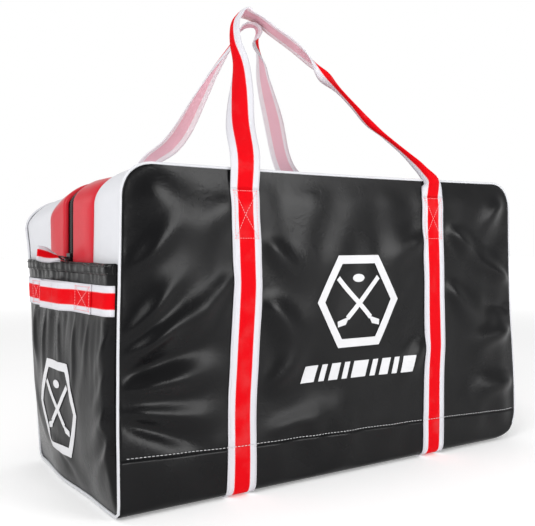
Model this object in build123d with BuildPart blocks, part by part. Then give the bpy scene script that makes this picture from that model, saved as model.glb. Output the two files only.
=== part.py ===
from build123d import *
from math import cos, hypot, radians, sin
import os

# Hockey equipment bag: a stiff vinyl holdall that stands on its base.
# Millimetres. X runs along the bag, the front panel faces -Y, Z is up.
# The origin is the middle of the underside.

# ---- driving dimensions ----
length = 810.0            # end face to end face
width = 360.0             # front panel to back panel
height = 485.0            # floor to the top gusset
sheet = 3.0               # vinyl with its lining and padding
base_sheet = 4.0          # doubled bottom panel
top_radius = 45.0         # rounded top corners, seen from the front
base_radius = 15.0        # long bottom edges
base_rise = 70.0          # how far the bottom panel comes up the front and back

zip_half = 11.0           # zip centre to the edge of the red strip
tooth_gap = 1.0           # half of the gap between the two rows of teeth
tooth_depth = 2.5
red_edge = 84.0           # zip centre to the red and white seam
flap_end = 300.0          # the opening top reaches this far from the middle
flap_play = 0.5
flap_seam = width / 2 - 4
gusset_bottom = 300.0     # the end strips stop here, behind the pockets

piping_radius = 2.2
piping_proud = 0.8        # beyond the front and back faces
piping_clearance = 0.2    # above the floor
bend_play = 0.01          # keeps a short straight run between two bends

strap_width = 50.0
strap_thick = 2.0
strap_x = 200.0           # centre of each body strap
strap_top = height - 1

handle_thick = 2.5
handle_foot_y = width / 2 + 6
handle_foot_z = height + 1
handle_apex_x = -77.0
handle_apex_z = 769.0     # centre of the webbing at the top of the loop
handle_apex_y = 17.0

pocket_depth = 15.0
pocket_wall = 2.0
pocket_half = 172.0
pocket_bottom = 8.0
pocket_top = 345.0
pocket_corner = 8.0
hem_bottom = 330.0
hem_thick = 1.2
band_bottom = 274.0
band_top = 316.0
band_thick = 1.5
grab_half = 55.5          # half of the loose stretch of the grab handle
grab_end = 122.0
grab_stand_off = 12.5     # pocket face to the inside of the loose stretch
grab_thick = 2.0
grab_gap = 1.0            # between the sewn end and the loose stretch
grab_run = 12.0           # width over which the sewn end rises, inside
grab_run_outer = 14.0     # the same, outside

slider_bottom = 336.0
slider_length = 22.0
slider_half = 7.0
slider_play = 0.5
pull_z = 348.0            # pivot of the zip pull
pull_stand = 7.0          # pivot's distance from the end face
pull_rise = 25.0          # degrees that the pull points above level
pull_half = 14.0
pull_length = 58.0
link_length = 12.0
wire_radius = 1.0         # half of the link's square section
link_corner = 2.5
link_corner_inner = 1.5
tab_clearance = 0.2
tab_corner = 6.0
tab_thick = 2.5

# ---- derived places ----
end_x = length / 2
side_y = width / 2
inner_y = side_y - sheet
pocket_x = end_x + pocket_depth
band_x = pocket_x + band_thick
grab_x = pocket_x + grab_stand_off

os.makedirs("parts", exist_ok=True)


def save(piece, name):
    """Label a finished piece, write it and print its volume."""
    piece.part.label = name
    export_step(piece.part, f"parts/{name}.step")
    print(name, round(piece.part.volume / 1000, 2), "cm3")


def box_between(low, high, mode=Mode.ADD):
    """A box from its lowest corner to its highest."""
    size = [high[i] - low[i] for i in range(3)]
    middle = [(high[i] + low[i]) / 2 for i in range(3)]
    with Locations(tuple(middle)):
        Box(*size, mode=mode)


# ---- front and back panels, above the bottom panel's seam ----
for name, face_y in (("front_panel", -inner_y), ("back_panel", side_y)):
    with BuildPart() as panel:
        with BuildSketch(Plane.XZ.offset(-face_y)):
            with BuildLine():
                edge = FilletPolyline(
                    (-end_x, base_rise), (-end_x, height), (end_x, height), (end_x, base_rise),
                    radius=top_radius)
                Line(edge @ 1, edge @ 0)
            make_face()
        extrude(amount=sheet)
    save(panel, name)

# ---- body straps: each is one length of webbing, down the front, under the bag, up the back ----
strap_y = side_y + strap_thick
straps = {}
for name, middle_x in (("left_body_strap", -strap_x), ("right_body_strap", strap_x)):
    with BuildPart() as strap:
        with BuildSketch(Plane.YZ.offset(middle_x - strap_width / 2)):
            with BuildLine():
                outer = FilletPolyline(
                    (-strap_y, strap_top), (-strap_y, 0), (strap_y, 0), (strap_y, strap_top),
                    radius=base_radius + strap_thick)
                inner = FilletPolyline(
                    (-side_y, strap_top), (-side_y, strap_thick),
                    (side_y, strap_thick), (side_y, strap_top),
                    radius=base_radius)
                Line(outer @ 0, inner @ 0)
                Line(outer @ 1, inner @ 1)
            make_face()
        extrude(amount=strap_width)
    straps[name] = strap
    save(strap, name)

# ---- bottom panel: a trough with the straps let into its underside ----
base_inner_radius = base_radius - sheet
with BuildPart() as bottom_panel:
    with BuildSketch(Plane.YZ.offset(-end_x)):
        with BuildLine():
            outer = FilletPolyline(
                (-side_y, base_rise), (-side_y, 0), (side_y, 0), (side_y, base_rise),
                radius=base_radius)
            inner = FilletPolyline(
                (-inner_y, base_rise), (-inner_y, base_sheet),
                (inner_y, base_sheet), (inner_y, base_rise),
                radius=base_inner_radius)
            Line(outer @ 0, inner @ 0)
            Line(outer @ 1, inner @ 1)
        make_face()
    extrude(amount=length)
    for strap in straps.values():
        add(strap.part, mode=Mode.SUBTRACT)
save(bottom_panel, "bottom_panel")

# ---- loose stiffener board that lies on the bottom, inside ----
board_gap = 10.0
board_corner = 20.0
with BuildPart() as bottom_board:
    with BuildSketch(Plane.XY.offset(base_sheet)):
        RectangleRounded(length - 2 * board_gap, width - 3 * board_gap, board_corner)
    extrude(amount=sheet)
save(bottom_board, "bottom_board")


def end_strip(side, high_y, across):
    """A gusset strip: up the end, round the top corner, in along the top."""
    with BuildPart() as strip:
        with BuildSketch(Plane.XZ.offset(-high_y)):
            with BuildLine():
                outer = FilletPolyline(
                    (side * end_x, gusset_bottom), (side * end_x, height),
                    (side * (flap_end + flap_play), height), radius=top_radius)
                inner = FilletPolyline(
                    (side * (end_x - sheet), gusset_bottom), (side * (end_x - sheet), height - sheet),
                    (side * (flap_end + flap_play), height - sheet), radius=top_radius - sheet)
                Line(outer @ 0, inner @ 0)
                Line(outer @ 1, inner @ 1)
            make_face()
        extrude(amount=across)
    return strip


# The strips from the seam to the middle of the zip, on the front half.
strip_edges = {
    "white": (inner_y, red_edge),
    "red": (red_edge, zip_half),
    "tape": (zip_half, tooth_gap + tooth_depth),
    "teeth": (tooth_gap + tooth_depth, tooth_gap),
}

for side, side_name in ((-1, "left"), (1, "right")):
    # ---- end panel behind the pocket ----
    with BuildPart() as end_panel:
        with BuildSketch(Plane.YZ.offset(side * end_x)):
            with BuildLine():
                edge = FilletPolyline(
                    (-inner_y, gusset_bottom), (-inner_y, base_sheet),
                    (inner_y, base_sheet), (inner_y, gusset_bottom),
                    radius=base_inner_radius)
                Line(edge @ 1, edge @ 0)
            make_face()
        extrude(amount=-side * sheet)
    save(end_panel, f"{side_name}_end_panel")

    # ---- gusset strips, zip tapes and teeth on the end and round the top corner ----
    for half, half_name in ((-1, "front"), (1, "back")):
        for strip_name, (far_y, near_y) in strip_edges.items():
            high_y = max(half * far_y, half * near_y)
            strip = end_strip(side, high_y, far_y - near_y)
            save(strip, f"{side_name}_{half_name}_{strip_name}")

    # ---- end pocket: open at the top, sewn to the end at its sides and bottom ----
    with BuildPart() as pocket:
        with BuildSketch(Plane.XY.offset(pocket_bottom)):
            with Locations((side * (end_x + pocket_depth / 2), 0)):
                Rectangle(pocket_depth, 2 * pocket_half)
        extrude(amount=pocket_top - pocket_bottom)
        outer_edges = pocket.edges().filter_by(Axis.Z).group_by(Axis.X)[-1 if side > 0 else 0]
        fillet(outer_edges, radius=pocket_corner)
        low_x = min(side * end_x, side * (pocket_x - pocket_wall))
        high_x = max(side * end_x, side * (pocket_x - pocket_wall))
        pocket_room = pocket_half - pocket_wall
        box_between(
            (low_x, -pocket_room, pocket_bottom + pocket_wall),
            (high_x, pocket_room, pocket_top), mode=Mode.SUBTRACT)
    save(pocket, f"{side_name}_pocket")

    # ---- folded hem along the pocket's mouth ----
    hem_half = pocket_half - pocket_corner
    with BuildPart() as hem:
        with BuildSketch(Plane.XZ.offset(-hem_half)):
            with BuildLine():
                Polyline(
                    (side * pocket_x, hem_bottom),
                    (side * (pocket_x + hem_thick), hem_bottom),
                    (side * (pocket_x + hem_thick), pocket_top + hem_thick),
                    (side * (pocket_x - pocket_wall), pocket_top + hem_thick),
                    (side * (pocket_x - pocket_wall), pocket_top),
                    (side * pocket_x, pocket_top),
                    close=True)
            make_face()
        extrude(amount=2 * hem_half)
    save(hem, f"{side_name}_pocket_hem")

    # ---- webbing band across the pocket ----
    with BuildPart() as band:
        with BuildSketch(Plane.YZ.offset(side * pocket_x)):
            with Locations((0, (band_bottom + band_top) / 2)):
                Rectangle(2 * hem_half, band_top - band_bottom)
        extrude(amount=side * band_thick)
    save(band, f"{side_name}_pocket_band")

    # ---- grab handle: two sewn ends and the loose stretch between them ----
    with BuildPart() as grab_ends:
        with BuildSketch(Plane.XY.offset(band_bottom)):
            for half in (-1, 1):
                with BuildLine():
                    Polyline(
                        (side * band_x, half * grab_end),
                        (side * (band_x + band_thick), half * grab_end),
                        (side * (band_x + band_thick), half * (grab_half + grab_run_outer)),
                        (side * (grab_x + grab_thick), half * (grab_half + grab_gap)),
                        (side * grab_x, half * (grab_half + grab_gap)),
                        (side * band_x, half * (grab_half + grab_run)),
                        close=True)
                make_face()
        extrude(amount=band_top - band_bottom)
    save(grab_ends, f"{side_name}_grab_handle_ends")

    with BuildPart() as grab_handle:
        with BuildSketch(Plane.YZ.offset(side * grab_x)):
            with Locations((0, (band_bottom + band_top) / 2)):
                Rectangle(2 * grab_half, band_top - band_bottom)
        extrude(amount=side * grab_thick)
    save(grab_handle, f"{side_name}_grab_handle")

    # ---- piping round the end: down the front seam, along the bottom, up the back seam ----
    piping_x = side * (end_x + piping_radius)
    piping_y = side_y + piping_proud - piping_radius
    with BuildPart() as piping:
        with BuildLine(Plane.YZ.offset(piping_x)):
            bead = FilletPolyline(
                (-piping_y, height - top_radius), (-piping_y, piping_radius + piping_clearance),
                (piping_y, piping_radius + piping_clearance), (piping_y, height - top_radius),
                radius=base_radius)
        with BuildSketch(Plane(origin=bead @ 0, z_dir=bead % 0)):
            Circle(piping_radius)
        sweep()
    save(piping, f"{side_name}_piping")

# ---- piping over the top, along the front and back seams ----
for name, half in (("front_piping", -1), ("back_piping", 1)):
    bead_x = end_x + piping_radius
    bead_z = height + piping_radius
    with BuildPart() as piping:
        with BuildLine(Plane.XZ.offset(-half * piping_y)):
            bead = FilletPolyline(
                (-bead_x, height - top_radius), (-bead_x, bead_z),
                (bead_x, bead_z), (bead_x, height - top_radius),
                radius=top_radius + piping_radius - bend_play)
        with BuildSketch(Plane(origin=bead @ 0, z_dir=bead % 0)):
            Circle(piping_radius)
        sweep()
    save(piping, name)

# ---- the two halves of the top that fold open, with their tape and teeth ----
flap_edges = dict(strip_edges, white=(flap_seam, red_edge))
for half, half_name in ((-1, "front"), (1, "back")):
    for strip_name, (far_y, near_y) in flap_edges.items():
        with BuildPart() as flap_strip:
            with BuildSketch(Plane.XY.offset(height - sheet)):
                with Locations((0, half * (far_y + near_y) / 2)):
                    Rectangle(2 * flap_end, far_y - near_y)
            extrude(amount=sheet)
        save(flap_strip, f"{half_name}_flap_{strip_name}")

# ---- carry handles: loops of webbing that lean in to one apex ----
lean_y = handle_foot_y - handle_apex_y
lean_z = handle_apex_z - handle_foot_z
lean = hypot(lean_y, lean_z)
for half, half_name in ((-1, "front"), (1, "back")):
    handle_plane = Plane(
        origin=(0, half * handle_foot_y, handle_foot_z),
        x_dir=(-half, 0, 0),
        z_dir=(0, half * lean_z / lean, lean_y / lean))
    with BuildPart() as handle:
        with BuildSketch(handle_plane):
            half_web = strap_width / 2
            apex_x = -half * handle_apex_x
            with Locations((apex_x, lean)):
                Circle(half_web)
            for foot_x in (-strap_x, strap_x):
                leg = hypot(apex_x - foot_x, lean)
                across_x = half_web * lean / leg
                across_y = half_web * (apex_x - foot_x) / leg
                with BuildLine():
                    Polyline(
                        (foot_x - half_web, 0), (foot_x + half_web, 0),
                        (apex_x + across_x, lean - across_y),
                        (apex_x - across_x, lean + across_y), close=True)
                make_face()
        extrude(amount=handle_thick / 2, both=True)
    save(handle, f"{half_name}_carry_handle")

# ---- zip slider: plates outside and inside the tapes, joined between the teeth ----
slider_top = slider_bottom + slider_length
plate = 4.0
inner_plate = 3.0
web_half = 0.6
web_length = 6.0
pull_x = -end_x - pull_stand
bail_half = 1.5
bail_out = 2.8            # from the pivot to the outside of the bail
bail_rise = 5.0           # from the pivot to the bail's top and bottom
with BuildPart() as zip_slider:
    outer_face = -end_x - slider_play
    inner_face = -end_x + sheet + slider_play
    box_between(
        (outer_face - plate, -slider_half, slider_bottom), (outer_face, slider_half, slider_top))
    box_between(
        (inner_face, -slider_half, slider_bottom),
        (inner_face + inner_plate, slider_half, slider_top))
    box_between((outer_face, -web_half, slider_top - web_length), (inner_face, web_half, slider_top))
    box_between(
        (pull_x - bail_out, -bail_half, pull_z - bail_rise),
        (outer_face - plate, bail_half, pull_z + bail_rise))
    with Locations(Location((pull_x, 0, pull_z), (90, 0, 0))):
        Cylinder(2 * wire_radius, 4 * bail_half, mode=Mode.SUBTRACT)
save(zip_slider, "zip_slider")

# ---- zip pull: a stamped link through the slider's eye, and a webbing tab ----
pull_out = Vector(-cos(radians(pull_rise)), 0, sin(radians(pull_rise)))
pull_plane = Plane(
    origin=(pull_x, 0, pull_z), x_dir=(0, 1, 0), z_dir=Vector(0, 1, 0).cross(pull_out))
with BuildPart() as pull_link:
    with BuildSketch(pull_plane):
        with Locations((0, link_length / 2)):
            RectangleRounded(2 * (pull_half + wire_radius), link_length + 2 * wire_radius, link_corner)
            RectangleRounded(
                2 * (pull_half - wire_radius), link_length - 2 * wire_radius, link_corner_inner,
                mode=Mode.SUBTRACT)
    extrude(amount=wire_radius, both=True)
save(pull_link, "pull_link")

with BuildPart() as pull_tab:
    with BuildSketch(pull_plane):
        tab_start = link_length + wire_radius + tab_clearance
        with Locations((0, (tab_start + pull_length) / 2)):
            RectangleRounded(2 * pull_half - 2, pull_length - tab_start, tab_corner)
    extrude(amount=tab_thick / 2, both=True)
save(pull_tab, "pull_tab")

# ---- end stops across both rows of teeth, just below the slider and at the other end ----
stop_half = 4.0
stop_thick = 1.0
stop_drop = 5.0           # from the slider's lower end to the stop's lower end
stop_tall = 3.0
with BuildPart() as zip_stops:
    for side in (-1, 1):
        low_x = min(side * end_x, side * (end_x + stop_thick))
        low_z = slider_bottom - stop_drop
        box_between((low_x, -stop_half, low_z), (low_x + stop_thick, stop_half, low_z + stop_tall))
save(zip_stops, "zip_stops")
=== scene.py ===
# %% [markdown]
# # A hockey equipment bag, dressed in Blender
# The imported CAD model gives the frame: every size and place below is read from it. What is left to do
# here is the looks: coated vinyl that puckers at its seams, striped webbing, a zip, piping and stitches.

# %% Load the frame
import bmesh
import bpy
import math
import numpy as np
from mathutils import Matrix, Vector, noise


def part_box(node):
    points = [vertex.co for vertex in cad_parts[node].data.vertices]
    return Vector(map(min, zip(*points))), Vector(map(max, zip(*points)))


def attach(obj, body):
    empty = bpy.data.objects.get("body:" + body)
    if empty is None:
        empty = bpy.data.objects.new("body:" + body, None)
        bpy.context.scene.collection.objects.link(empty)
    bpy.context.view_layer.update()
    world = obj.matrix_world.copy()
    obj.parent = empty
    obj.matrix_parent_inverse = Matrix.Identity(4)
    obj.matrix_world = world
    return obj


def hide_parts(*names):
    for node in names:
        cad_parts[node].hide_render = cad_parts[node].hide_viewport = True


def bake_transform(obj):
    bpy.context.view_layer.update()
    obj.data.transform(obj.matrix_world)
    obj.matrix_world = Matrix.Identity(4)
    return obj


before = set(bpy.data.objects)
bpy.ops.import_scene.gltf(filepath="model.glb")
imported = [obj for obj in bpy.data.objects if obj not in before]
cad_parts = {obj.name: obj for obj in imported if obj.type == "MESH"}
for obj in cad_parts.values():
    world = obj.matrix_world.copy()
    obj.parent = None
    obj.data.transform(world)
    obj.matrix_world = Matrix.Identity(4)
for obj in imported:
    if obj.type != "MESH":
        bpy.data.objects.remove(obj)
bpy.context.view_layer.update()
SIDES = ((-1, "left"), (1, "right"))      # sign of X and the name of each end
HALVES = ((-1, "front"), (1, "back"))     # sign of Y and the name of each half


def corners(node):
    """A node's lowest and highest corner as two arrays."""
    low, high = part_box(node)
    return np.array(low, float), np.array(high, float)


panel_low, panel_high = corners("front_panel")
END_X = panel_high[0]
SIDE_Y = -panel_low[1]
TOP_Z = panel_high[2]
STITCH_Z = panel_low[2]
TOP_RADIUS = TOP_Z - corners("left_piping")[1][2]
BASE_RADIUS = 0.011       # of the edge between the bottom and the front or back
BASE_LIFT = 0.0030        # room under the vinyl for the straps
RED_EDGE = -corners("front_flap_red")[0][1]
strap_low, strap_high = corners("left_body_strap")
STRAP_X = -(strap_low[0] + strap_high[0]) / 2
STRAP_WIDE = strap_high[0] - strap_low[0]
print("bag", *np.round([2 * END_X, 2 * SIDE_Y, TOP_Z], 3), "strap", round(STRAP_WIDE, 3), "at", round(STRAP_X, 3))

# %% [markdown]
# ## The camera
# A product shot is taken with a longish lens held level, so uprights stay upright. A level camera with a
# little shift keeps them so; tilting it would make the bag's sides lean.

# %% Camera
scene = bpy.context.scene
camera_data = bpy.data.cameras.new("camera")
camera = bpy.data.objects.new("camera", camera_data)
scene.collection.objects.link(camera)
scene.camera = camera
camera_data.sensor_width = 36
camera_data.lens = 54.2
camera_data.shift_y = -0.0424
camera_data.clip_end = 30
camera.location = (-0.866, -1.189, 0.378)
camera.rotation_euler = (math.radians(90), 0, math.radians(-34.9))
print("camera", camera_data.lens, "mm lens at", [round(v, 3) for v in camera.location])

# %% [markdown]
# ## Studio
# A black glossy bag is lit by what it reflects: big soft boxes give broad pale sheens on its folds. The
# floor glows more the further it is from the bag, so that it meets the white behind it without a line. The
# world lights the bag more from one side, and the camera sees it as plain white.

# %% Floor
floor_mesh = bpy.data.meshes.new("floor")
half_floor = 14.0
floor_mesh.from_pydata(
    [(-half_floor, -half_floor, 0), (half_floor, -half_floor, 0),
     (half_floor, half_floor, 0), (-half_floor, half_floor, 0)], [], [(0, 1, 2, 3)])
floor = bpy.data.objects.new("floor", floor_mesh)
scene.collection.objects.link(floor)
floor.location.z = -0.0005
floor_paint = bpy.data.materials.new("studio_floor")
floor_paint.use_nodes = True
floor_tree = floor_paint.node_tree
floor_shader = floor_tree.nodes["Principled BSDF"]
floor_shader.inputs["Base Color"].default_value = (0.9, 0.9, 0.9, 1)
floor_shader.inputs["Roughness"].default_value = 0.9
floor_shader.inputs["Emission Strength"].default_value = 1.0
floor_way = floor_tree.nodes.new("ShaderNodeTexCoord")
floor_far = floor_tree.nodes.new("ShaderNodeVectorMath")
floor_far.operation = "LENGTH"
floor_glow = floor_tree.nodes.new("ShaderNodeMapRange")
floor_glow.interpolation_type = "SMOOTHSTEP"
for socket, value in (("From Min", 1.5), ("From Max", 7.0), ("To Min", 0.22), ("To Max", 1.0)):
    floor_glow.inputs[socket].default_value = value
floor_tree.links.new(floor_way.outputs["Object"], floor_far.inputs[0])
floor_tree.links.new(floor_far.outputs["Value"], floor_glow.inputs["Value"])
floor_tree.links.new(floor_glow.outputs["Result"], floor_shader.inputs["Emission Color"])
floor_mesh.materials.append(floor_paint)
print("floor", 2 * half_floor, "m wide")

# %% World
world = bpy.data.worlds.new("studio")
scene.world = world
world.use_nodes = True
sky = world.node_tree
sky_way = sky.nodes.new("ShaderNodeTexCoord")
sky_side = sky.nodes.new("ShaderNodeVectorMath")
sky_side.operation = "DOT_PRODUCT"
sky_side.inputs[1].default_value = (0.57, 0.82, 0)
sky_ramp = sky.nodes.new("ShaderNodeMapRange")
sky_ramp.interpolation_type = "SMOOTHSTEP"
for socket, value in (("From Min", 0.60), ("From Max", 0.93), ("To Min", 0.55), ("To Max", 1.0)):
    sky_ramp.inputs[socket].default_value = value
sky.links.new(sky_way.outputs["Generated"], sky_side.inputs[0])
sky.links.new(sky_side.outputs["Value"], sky_ramp.inputs["Value"])
sky_seen = sky.nodes.new("ShaderNodeLightPath")
sky_mix = sky.nodes.new("ShaderNodeMix")
sky_mix.inputs["B"].default_value = 1.0
sky.links.new(sky_seen.outputs["Is Camera Ray"], sky_mix.inputs["Factor"])
sky.links.new(sky_ramp.outputs["Result"], sky_mix.inputs["A"])
sky.links.new(sky_mix.outputs["Result"], sky.nodes["Background"].inputs["Color"])
scene.view_settings.view_transform = "Standard"

# %% Soft boxes


def soft_box(name, place, target, wide, tall, power):
    """A rectangular area light aimed at a point."""
    data = bpy.data.lights.new(name, "AREA")
    data.shape = "RECTANGLE"
    data.size = wide
    data.size_y = tall
    data.energy = power
    lamp = bpy.data.objects.new(name, data)
    lamp.location = place
    aim = Vector(target) - Vector(place)
    lamp.rotation_euler = aim.to_track_quat("-Z", "Y").to_euler()
    scene.collection.objects.link(lamp)


soft_box("key", (-2.2, -1.3, 1.5), (0, 0, 0.25), 1.2, 1.4, 36)
soft_box("fill", (1.15, -2.6, 0.90), (0, 0, 0.25), 1.2, 1.1, 36)
soft_box("top", (0, 0.2, 2.6), (0, 0, 0.3), 2.0, 1.4, 9)
soft_box("rim", (-1.9, 2.0, 0.9), (-0.4, 0, 0.2), 0.22, 1.3, 5)
print("lights", [lamp.name for lamp in bpy.data.lights])

# %% [markdown]
# ## Helpers for meshes
# Every soft piece starts as a grid of points with a UV map in metres, so one function turns a numpy grid
# into a mesh, and a pattern such as a webbing stripe can follow the piece wherever it bends.

# %% Mesh helpers


def add_object(name, mesh):
    piece = bpy.data.objects.new(name, mesh)
    scene.collection.objects.link(piece)
    return piece


def grid_piece(name, points, uv, outward=None, close_u=False):
    """points is rows x columns x 3; uv is rows x columns x 2. outward is a point the faces look away from."""
    rows, cols = points.shape[:2]
    index = np.arange(rows * cols).reshape(rows, cols)
    if close_u:
        index = np.hstack([index, index[:, :1]])
    quads = np.stack([index[:-1, :-1], index[:-1, 1:], index[1:, 1:], index[1:, :-1]], -1).reshape(-1, 4)
    flat = points.reshape(-1, 3)
    if outward is not None:
        a, b, c = (flat[quads[:, k]] for k in (0, 1, 3))
        normal = np.cross(b - a, c - a)
        middle = flat[quads].mean(1) - np.array(outward)
        if (normal * middle).sum() < 0:
            quads = quads[:, ::-1]
    mesh = bpy.data.meshes.new(name)
    mesh.from_pydata(flat.tolist(), [], quads.tolist())
    layer = mesh.uv_layers.new(name="UVMap")
    layer.data.foreach_set("uv", uv.reshape(-1, 2)[quads.reshape(-1)].astype(np.float32).ravel())
    mesh.polygons.foreach_set("use_smooth", [True] * len(mesh.polygons))
    mesh.update()
    return add_object(name, mesh)


def thicken(piece, thickness, subdivide=1):
    """Smooth a sheet and give it its thickness. The outer face stays where it is and the wall grows inward."""
    if subdivide:
        smooth = piece.modifiers.new("smooth", "SUBSURF")
        smooth.levels = subdivide
        smooth.render_levels = subdivide
        smooth.boundary_smooth = "PRESERVE_CORNERS"
    wall = piece.modifiers.new("wall", "SOLIDIFY")
    wall.thickness = thickness
    wall.offset = -1.0
    wall.use_even_offset = False

# %% Number and line helpers


def smooth_step(value, low, high):
    t = np.clip((np.asarray(value, float) - low) / (high - low), 0, 1)
    return t * t * (3 - 2 * t)


def waves(points, scale, seed):
    """Smooth noise from -1 to 1 at each point of an array of points."""
    flat = np.asarray(points, float).reshape(-1, 3) * scale + seed
    values = [noise.noise(Vector(p)) for p in flat.tolist()]
    return np.array(values).reshape(np.asarray(points).shape[:-1])


def run_length(points):
    """The distance along a line of points from its first point to each one."""
    return np.concatenate([[0], np.cumsum(np.linalg.norm(np.diff(points, axis=0), axis=1))])


def unit(vectors):
    return vectors / np.linalg.norm(vectors, axis=-1, keepdims=True)


def on_grid(grid, row, column):
    """The point at a fractional row and column of a grid, with the ways along the row and down the column."""
    row = np.clip(row, 0, grid.shape[0] - 1.001)
    column = np.clip(column, 0, grid.shape[1] - 1.001)
    i, j = row.astype(int), column.astype(int)
    fi, fj = (row - i)[..., None], (column - j)[..., None]
    a, b, c, d = grid[i, j], grid[i, j + 1], grid[i + 1, j], grid[i + 1, j + 1]
    point = (a * (1 - fj) + b * fj) * (1 - fi) + (c * (1 - fj) + d * fj) * fi
    return point, (b - a) * (1 - fi) + (d - c) * fi, (c - a) * (1 - fj) + (d - b) * fj


def finish_piece(piece, material):
    """Give a piece its one material."""
    piece.data.materials.clear()
    piece.data.materials.append(material)

# %% [markdown]
# ## One slump for the whole bag
# A standing bag leans and settles as a whole. Bending every piece with one smooth function of where it is
# keeps the seams shut, which separate noise on each panel wouldn't.

# %% The slump
FOOT_OUT = 0.013          # the foot of the front panel stands out
CORNER_LONG, CORNER_LIFT = 0.055, 0.024   # its right corner is rounded up over this length
SEAM_TILT = [0.010, 0.002, -0.003, -0.008, -0.016]   # the bottom seam's rise from left to right
SAG_DROP = 0.052          # the empty left end drops at the back
SAG_START, SAG_START_ZIP = 0.335, 0.412   # the heights where the drop starts: cloth, then the stiffer zip


def slump(points):
    """Move points as the bag settles: its empty left end sags towards the back, and the sides lean.

    x, y and z are views of p, so each line works on points that the lines above it have already moved.
    """
    p = np.array(points, float)
    x, y, z = p[..., 0], p[..., 1], p[..., 2]
    up = np.clip(z / TOP_Z, 0, 1)
    at_end = smooth_step(np.abs(x), 0.25, END_X) * np.sign(x)
    back = smooth_step(y, 0.01, SIDE_Y)
    off_zip = smooth_step(np.abs(y), 0.012, 0.080)
    body = smooth_step(z, TOP_Z + 0.10, TOP_Z - 0.02)
    p[..., 0] += at_end * back * (0.028 * up - 0.017) * body
    p[..., 0] += at_end * (1 - back) * off_zip * 0.002 * np.sin(up * math.pi * 1.5) * body
    front = smooth_step(-y, 0.06, SIDE_Y)
    low = 1 - smooth_step(z, 0.0, 0.17)
    p[..., 1] -= FOOT_OUT * low * smooth_step(-y, 0.10, SIDE_Y)
    p[..., 0] -= 0.006 * low * front * smooth_step(-x, 0.30, END_X)
    corner_turn = np.clip((x - END_X + CORNER_LONG) / CORNER_LONG, 0, 1)
    corner_lift = (1 - np.sqrt(1.0001 - corner_turn ** 2)) * front * (1 - smooth_step(z, 0.0, 0.075))
    p[..., 2] += CORNER_LIFT * corner_lift
    p[..., 0] -= 0.010 * corner_lift
    seam_tilt = np.interp(x, [-END_X, -0.2, 0, 0.2, END_X], SEAM_TILT)
    p[..., 2] += seam_tilt * front * smooth_step(z, 0.0, STITCH_Z) * (1 - smooth_step(z, STITCH_Z, 0.20))
    sag = smooth_step(-x, 0.21, END_X) * np.clip(0.5 + y / (2 * SIDE_Y), 0, 1)
    zip_stiff = 1 - smooth_step(np.abs(y), 0.012, 0.090)
    sag_start = SAG_START + (SAG_START_ZIP - SAG_START) * zip_stiff
    sag = sag * (1 - 0.22 * zip_stiff) * smooth_step((z - sag_start) / (TOP_Z - sag_start), 0, 1)
    p[..., 2] -= SAG_DROP * sag * body
    p[..., 0] += smooth_step(x, 0.20, END_X) * 0.010 * np.exp(-((z - 0.13) / 0.09) ** 2)
    p[..., 2] += -0.003 * np.sin(np.clip((x + END_X) / (2 * END_X), 0, 1) * math.pi) * up ** 4 * body
    return p


top_corner = np.array([-END_X, SIDE_Y, TOP_Z])
print("the sagging corner moves mm", np.round((slump(top_corner) - top_corner) * 1000, 1))

# %% [markdown]
# ## Shared material effects
# Grain, weave and wear are node groups: each is built once and placed in every material that needs it,
# with its own numbers. They give out masks and heights only, and the shader stays in the material.

# %% Node helpers


def new_group(name, inputs, outputs):
    """An empty shader node group. inputs lists (label, socket type, value); outputs (label, socket type)."""
    group = bpy.data.node_groups.new(name, "ShaderNodeTree")
    for label, kind, value in inputs:
        socket = group.interface.new_socket(label, in_out="INPUT", socket_type=kind)
        if value is not None:
            socket.default_value = value
    for label, kind in outputs:
        group.interface.new_socket(label, in_out="OUTPUT", socket_type=kind)
    return group, group.nodes.new("NodeGroupInput"), group.nodes.new("NodeGroupOutput")


class Nodes:
    """Short names for the nodes that the materials use."""

    def __init__(self, tree):
        self.tree = tree

    def add(self, kind, links=(), **values):
        node = self.tree.nodes.new(kind)
        for key, value in values.items():
            setattr(node, key, value)
        for socket, source in dict(links).items():
            target = node.inputs[socket]
            if hasattr(source, "is_output"):
                self.tree.links.new(source, target)
            else:
                target.default_value = source
        return node

    def math(self, operation, *values):
        node = self.tree.nodes.new("ShaderNodeMath")
        node.operation = operation
        for socket, value in zip(node.inputs, values):
            if hasattr(value, "is_output"):
                self.tree.links.new(value, socket)
            else:
                socket.default_value = value
        return node.outputs[0]

    def noise(self, vector, scale, detail=3.0, rough=0.5):
        node = self.add("ShaderNodeTexNoise", {"Vector": vector, "Scale": scale, "Detail": detail,
                                               "Roughness": rough})
        return node.outputs["Fac"]

    def ramp(self, value, low, high, out_low=0.0, out_high=1.0):
        node = self.add("ShaderNodeMapRange", {"Value": value, "From Min": low, "From Max": high,
                                               "To Min": out_low, "To Max": out_high})
        node.interpolation_type = "SMOOTHSTEP"
        return node.outputs["Result"]

    def mix(self, factor, a, b):
        node = self.tree.nodes.new("ShaderNodeMix")
        node.data_type = "RGBA"
        for socket, value in ((node.inputs["Factor"], factor), (node.inputs[6], a), (node.inputs[7], b)):
            if hasattr(value, "is_output"):
                self.tree.links.new(value, socket)
            else:
                socket.default_value = value
        return node.outputs[2]

    def surface(self, colour, rough, height, distance, strength):
        """Plug a colour, a roughness and a bump made from a height into the shader, and return the shader."""
        shader = self.tree.nodes["Principled BSDF"]
        bump = self.add("ShaderNodeBump", {"Height": height, "Distance": distance, "Strength": strength})
        for socket, source in (("Base Color", colour), ("Roughness", rough), ("Normal", bump.outputs["Normal"])):
            self.tree.links.new(source, shader.inputs[socket])
        return shader


def new_material(name):
    """A material with nodes, and the helper that adds to them."""
    material = bpy.data.materials.new(name)
    material.use_nodes = True
    return material, Nodes(material.node_tree)

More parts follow.
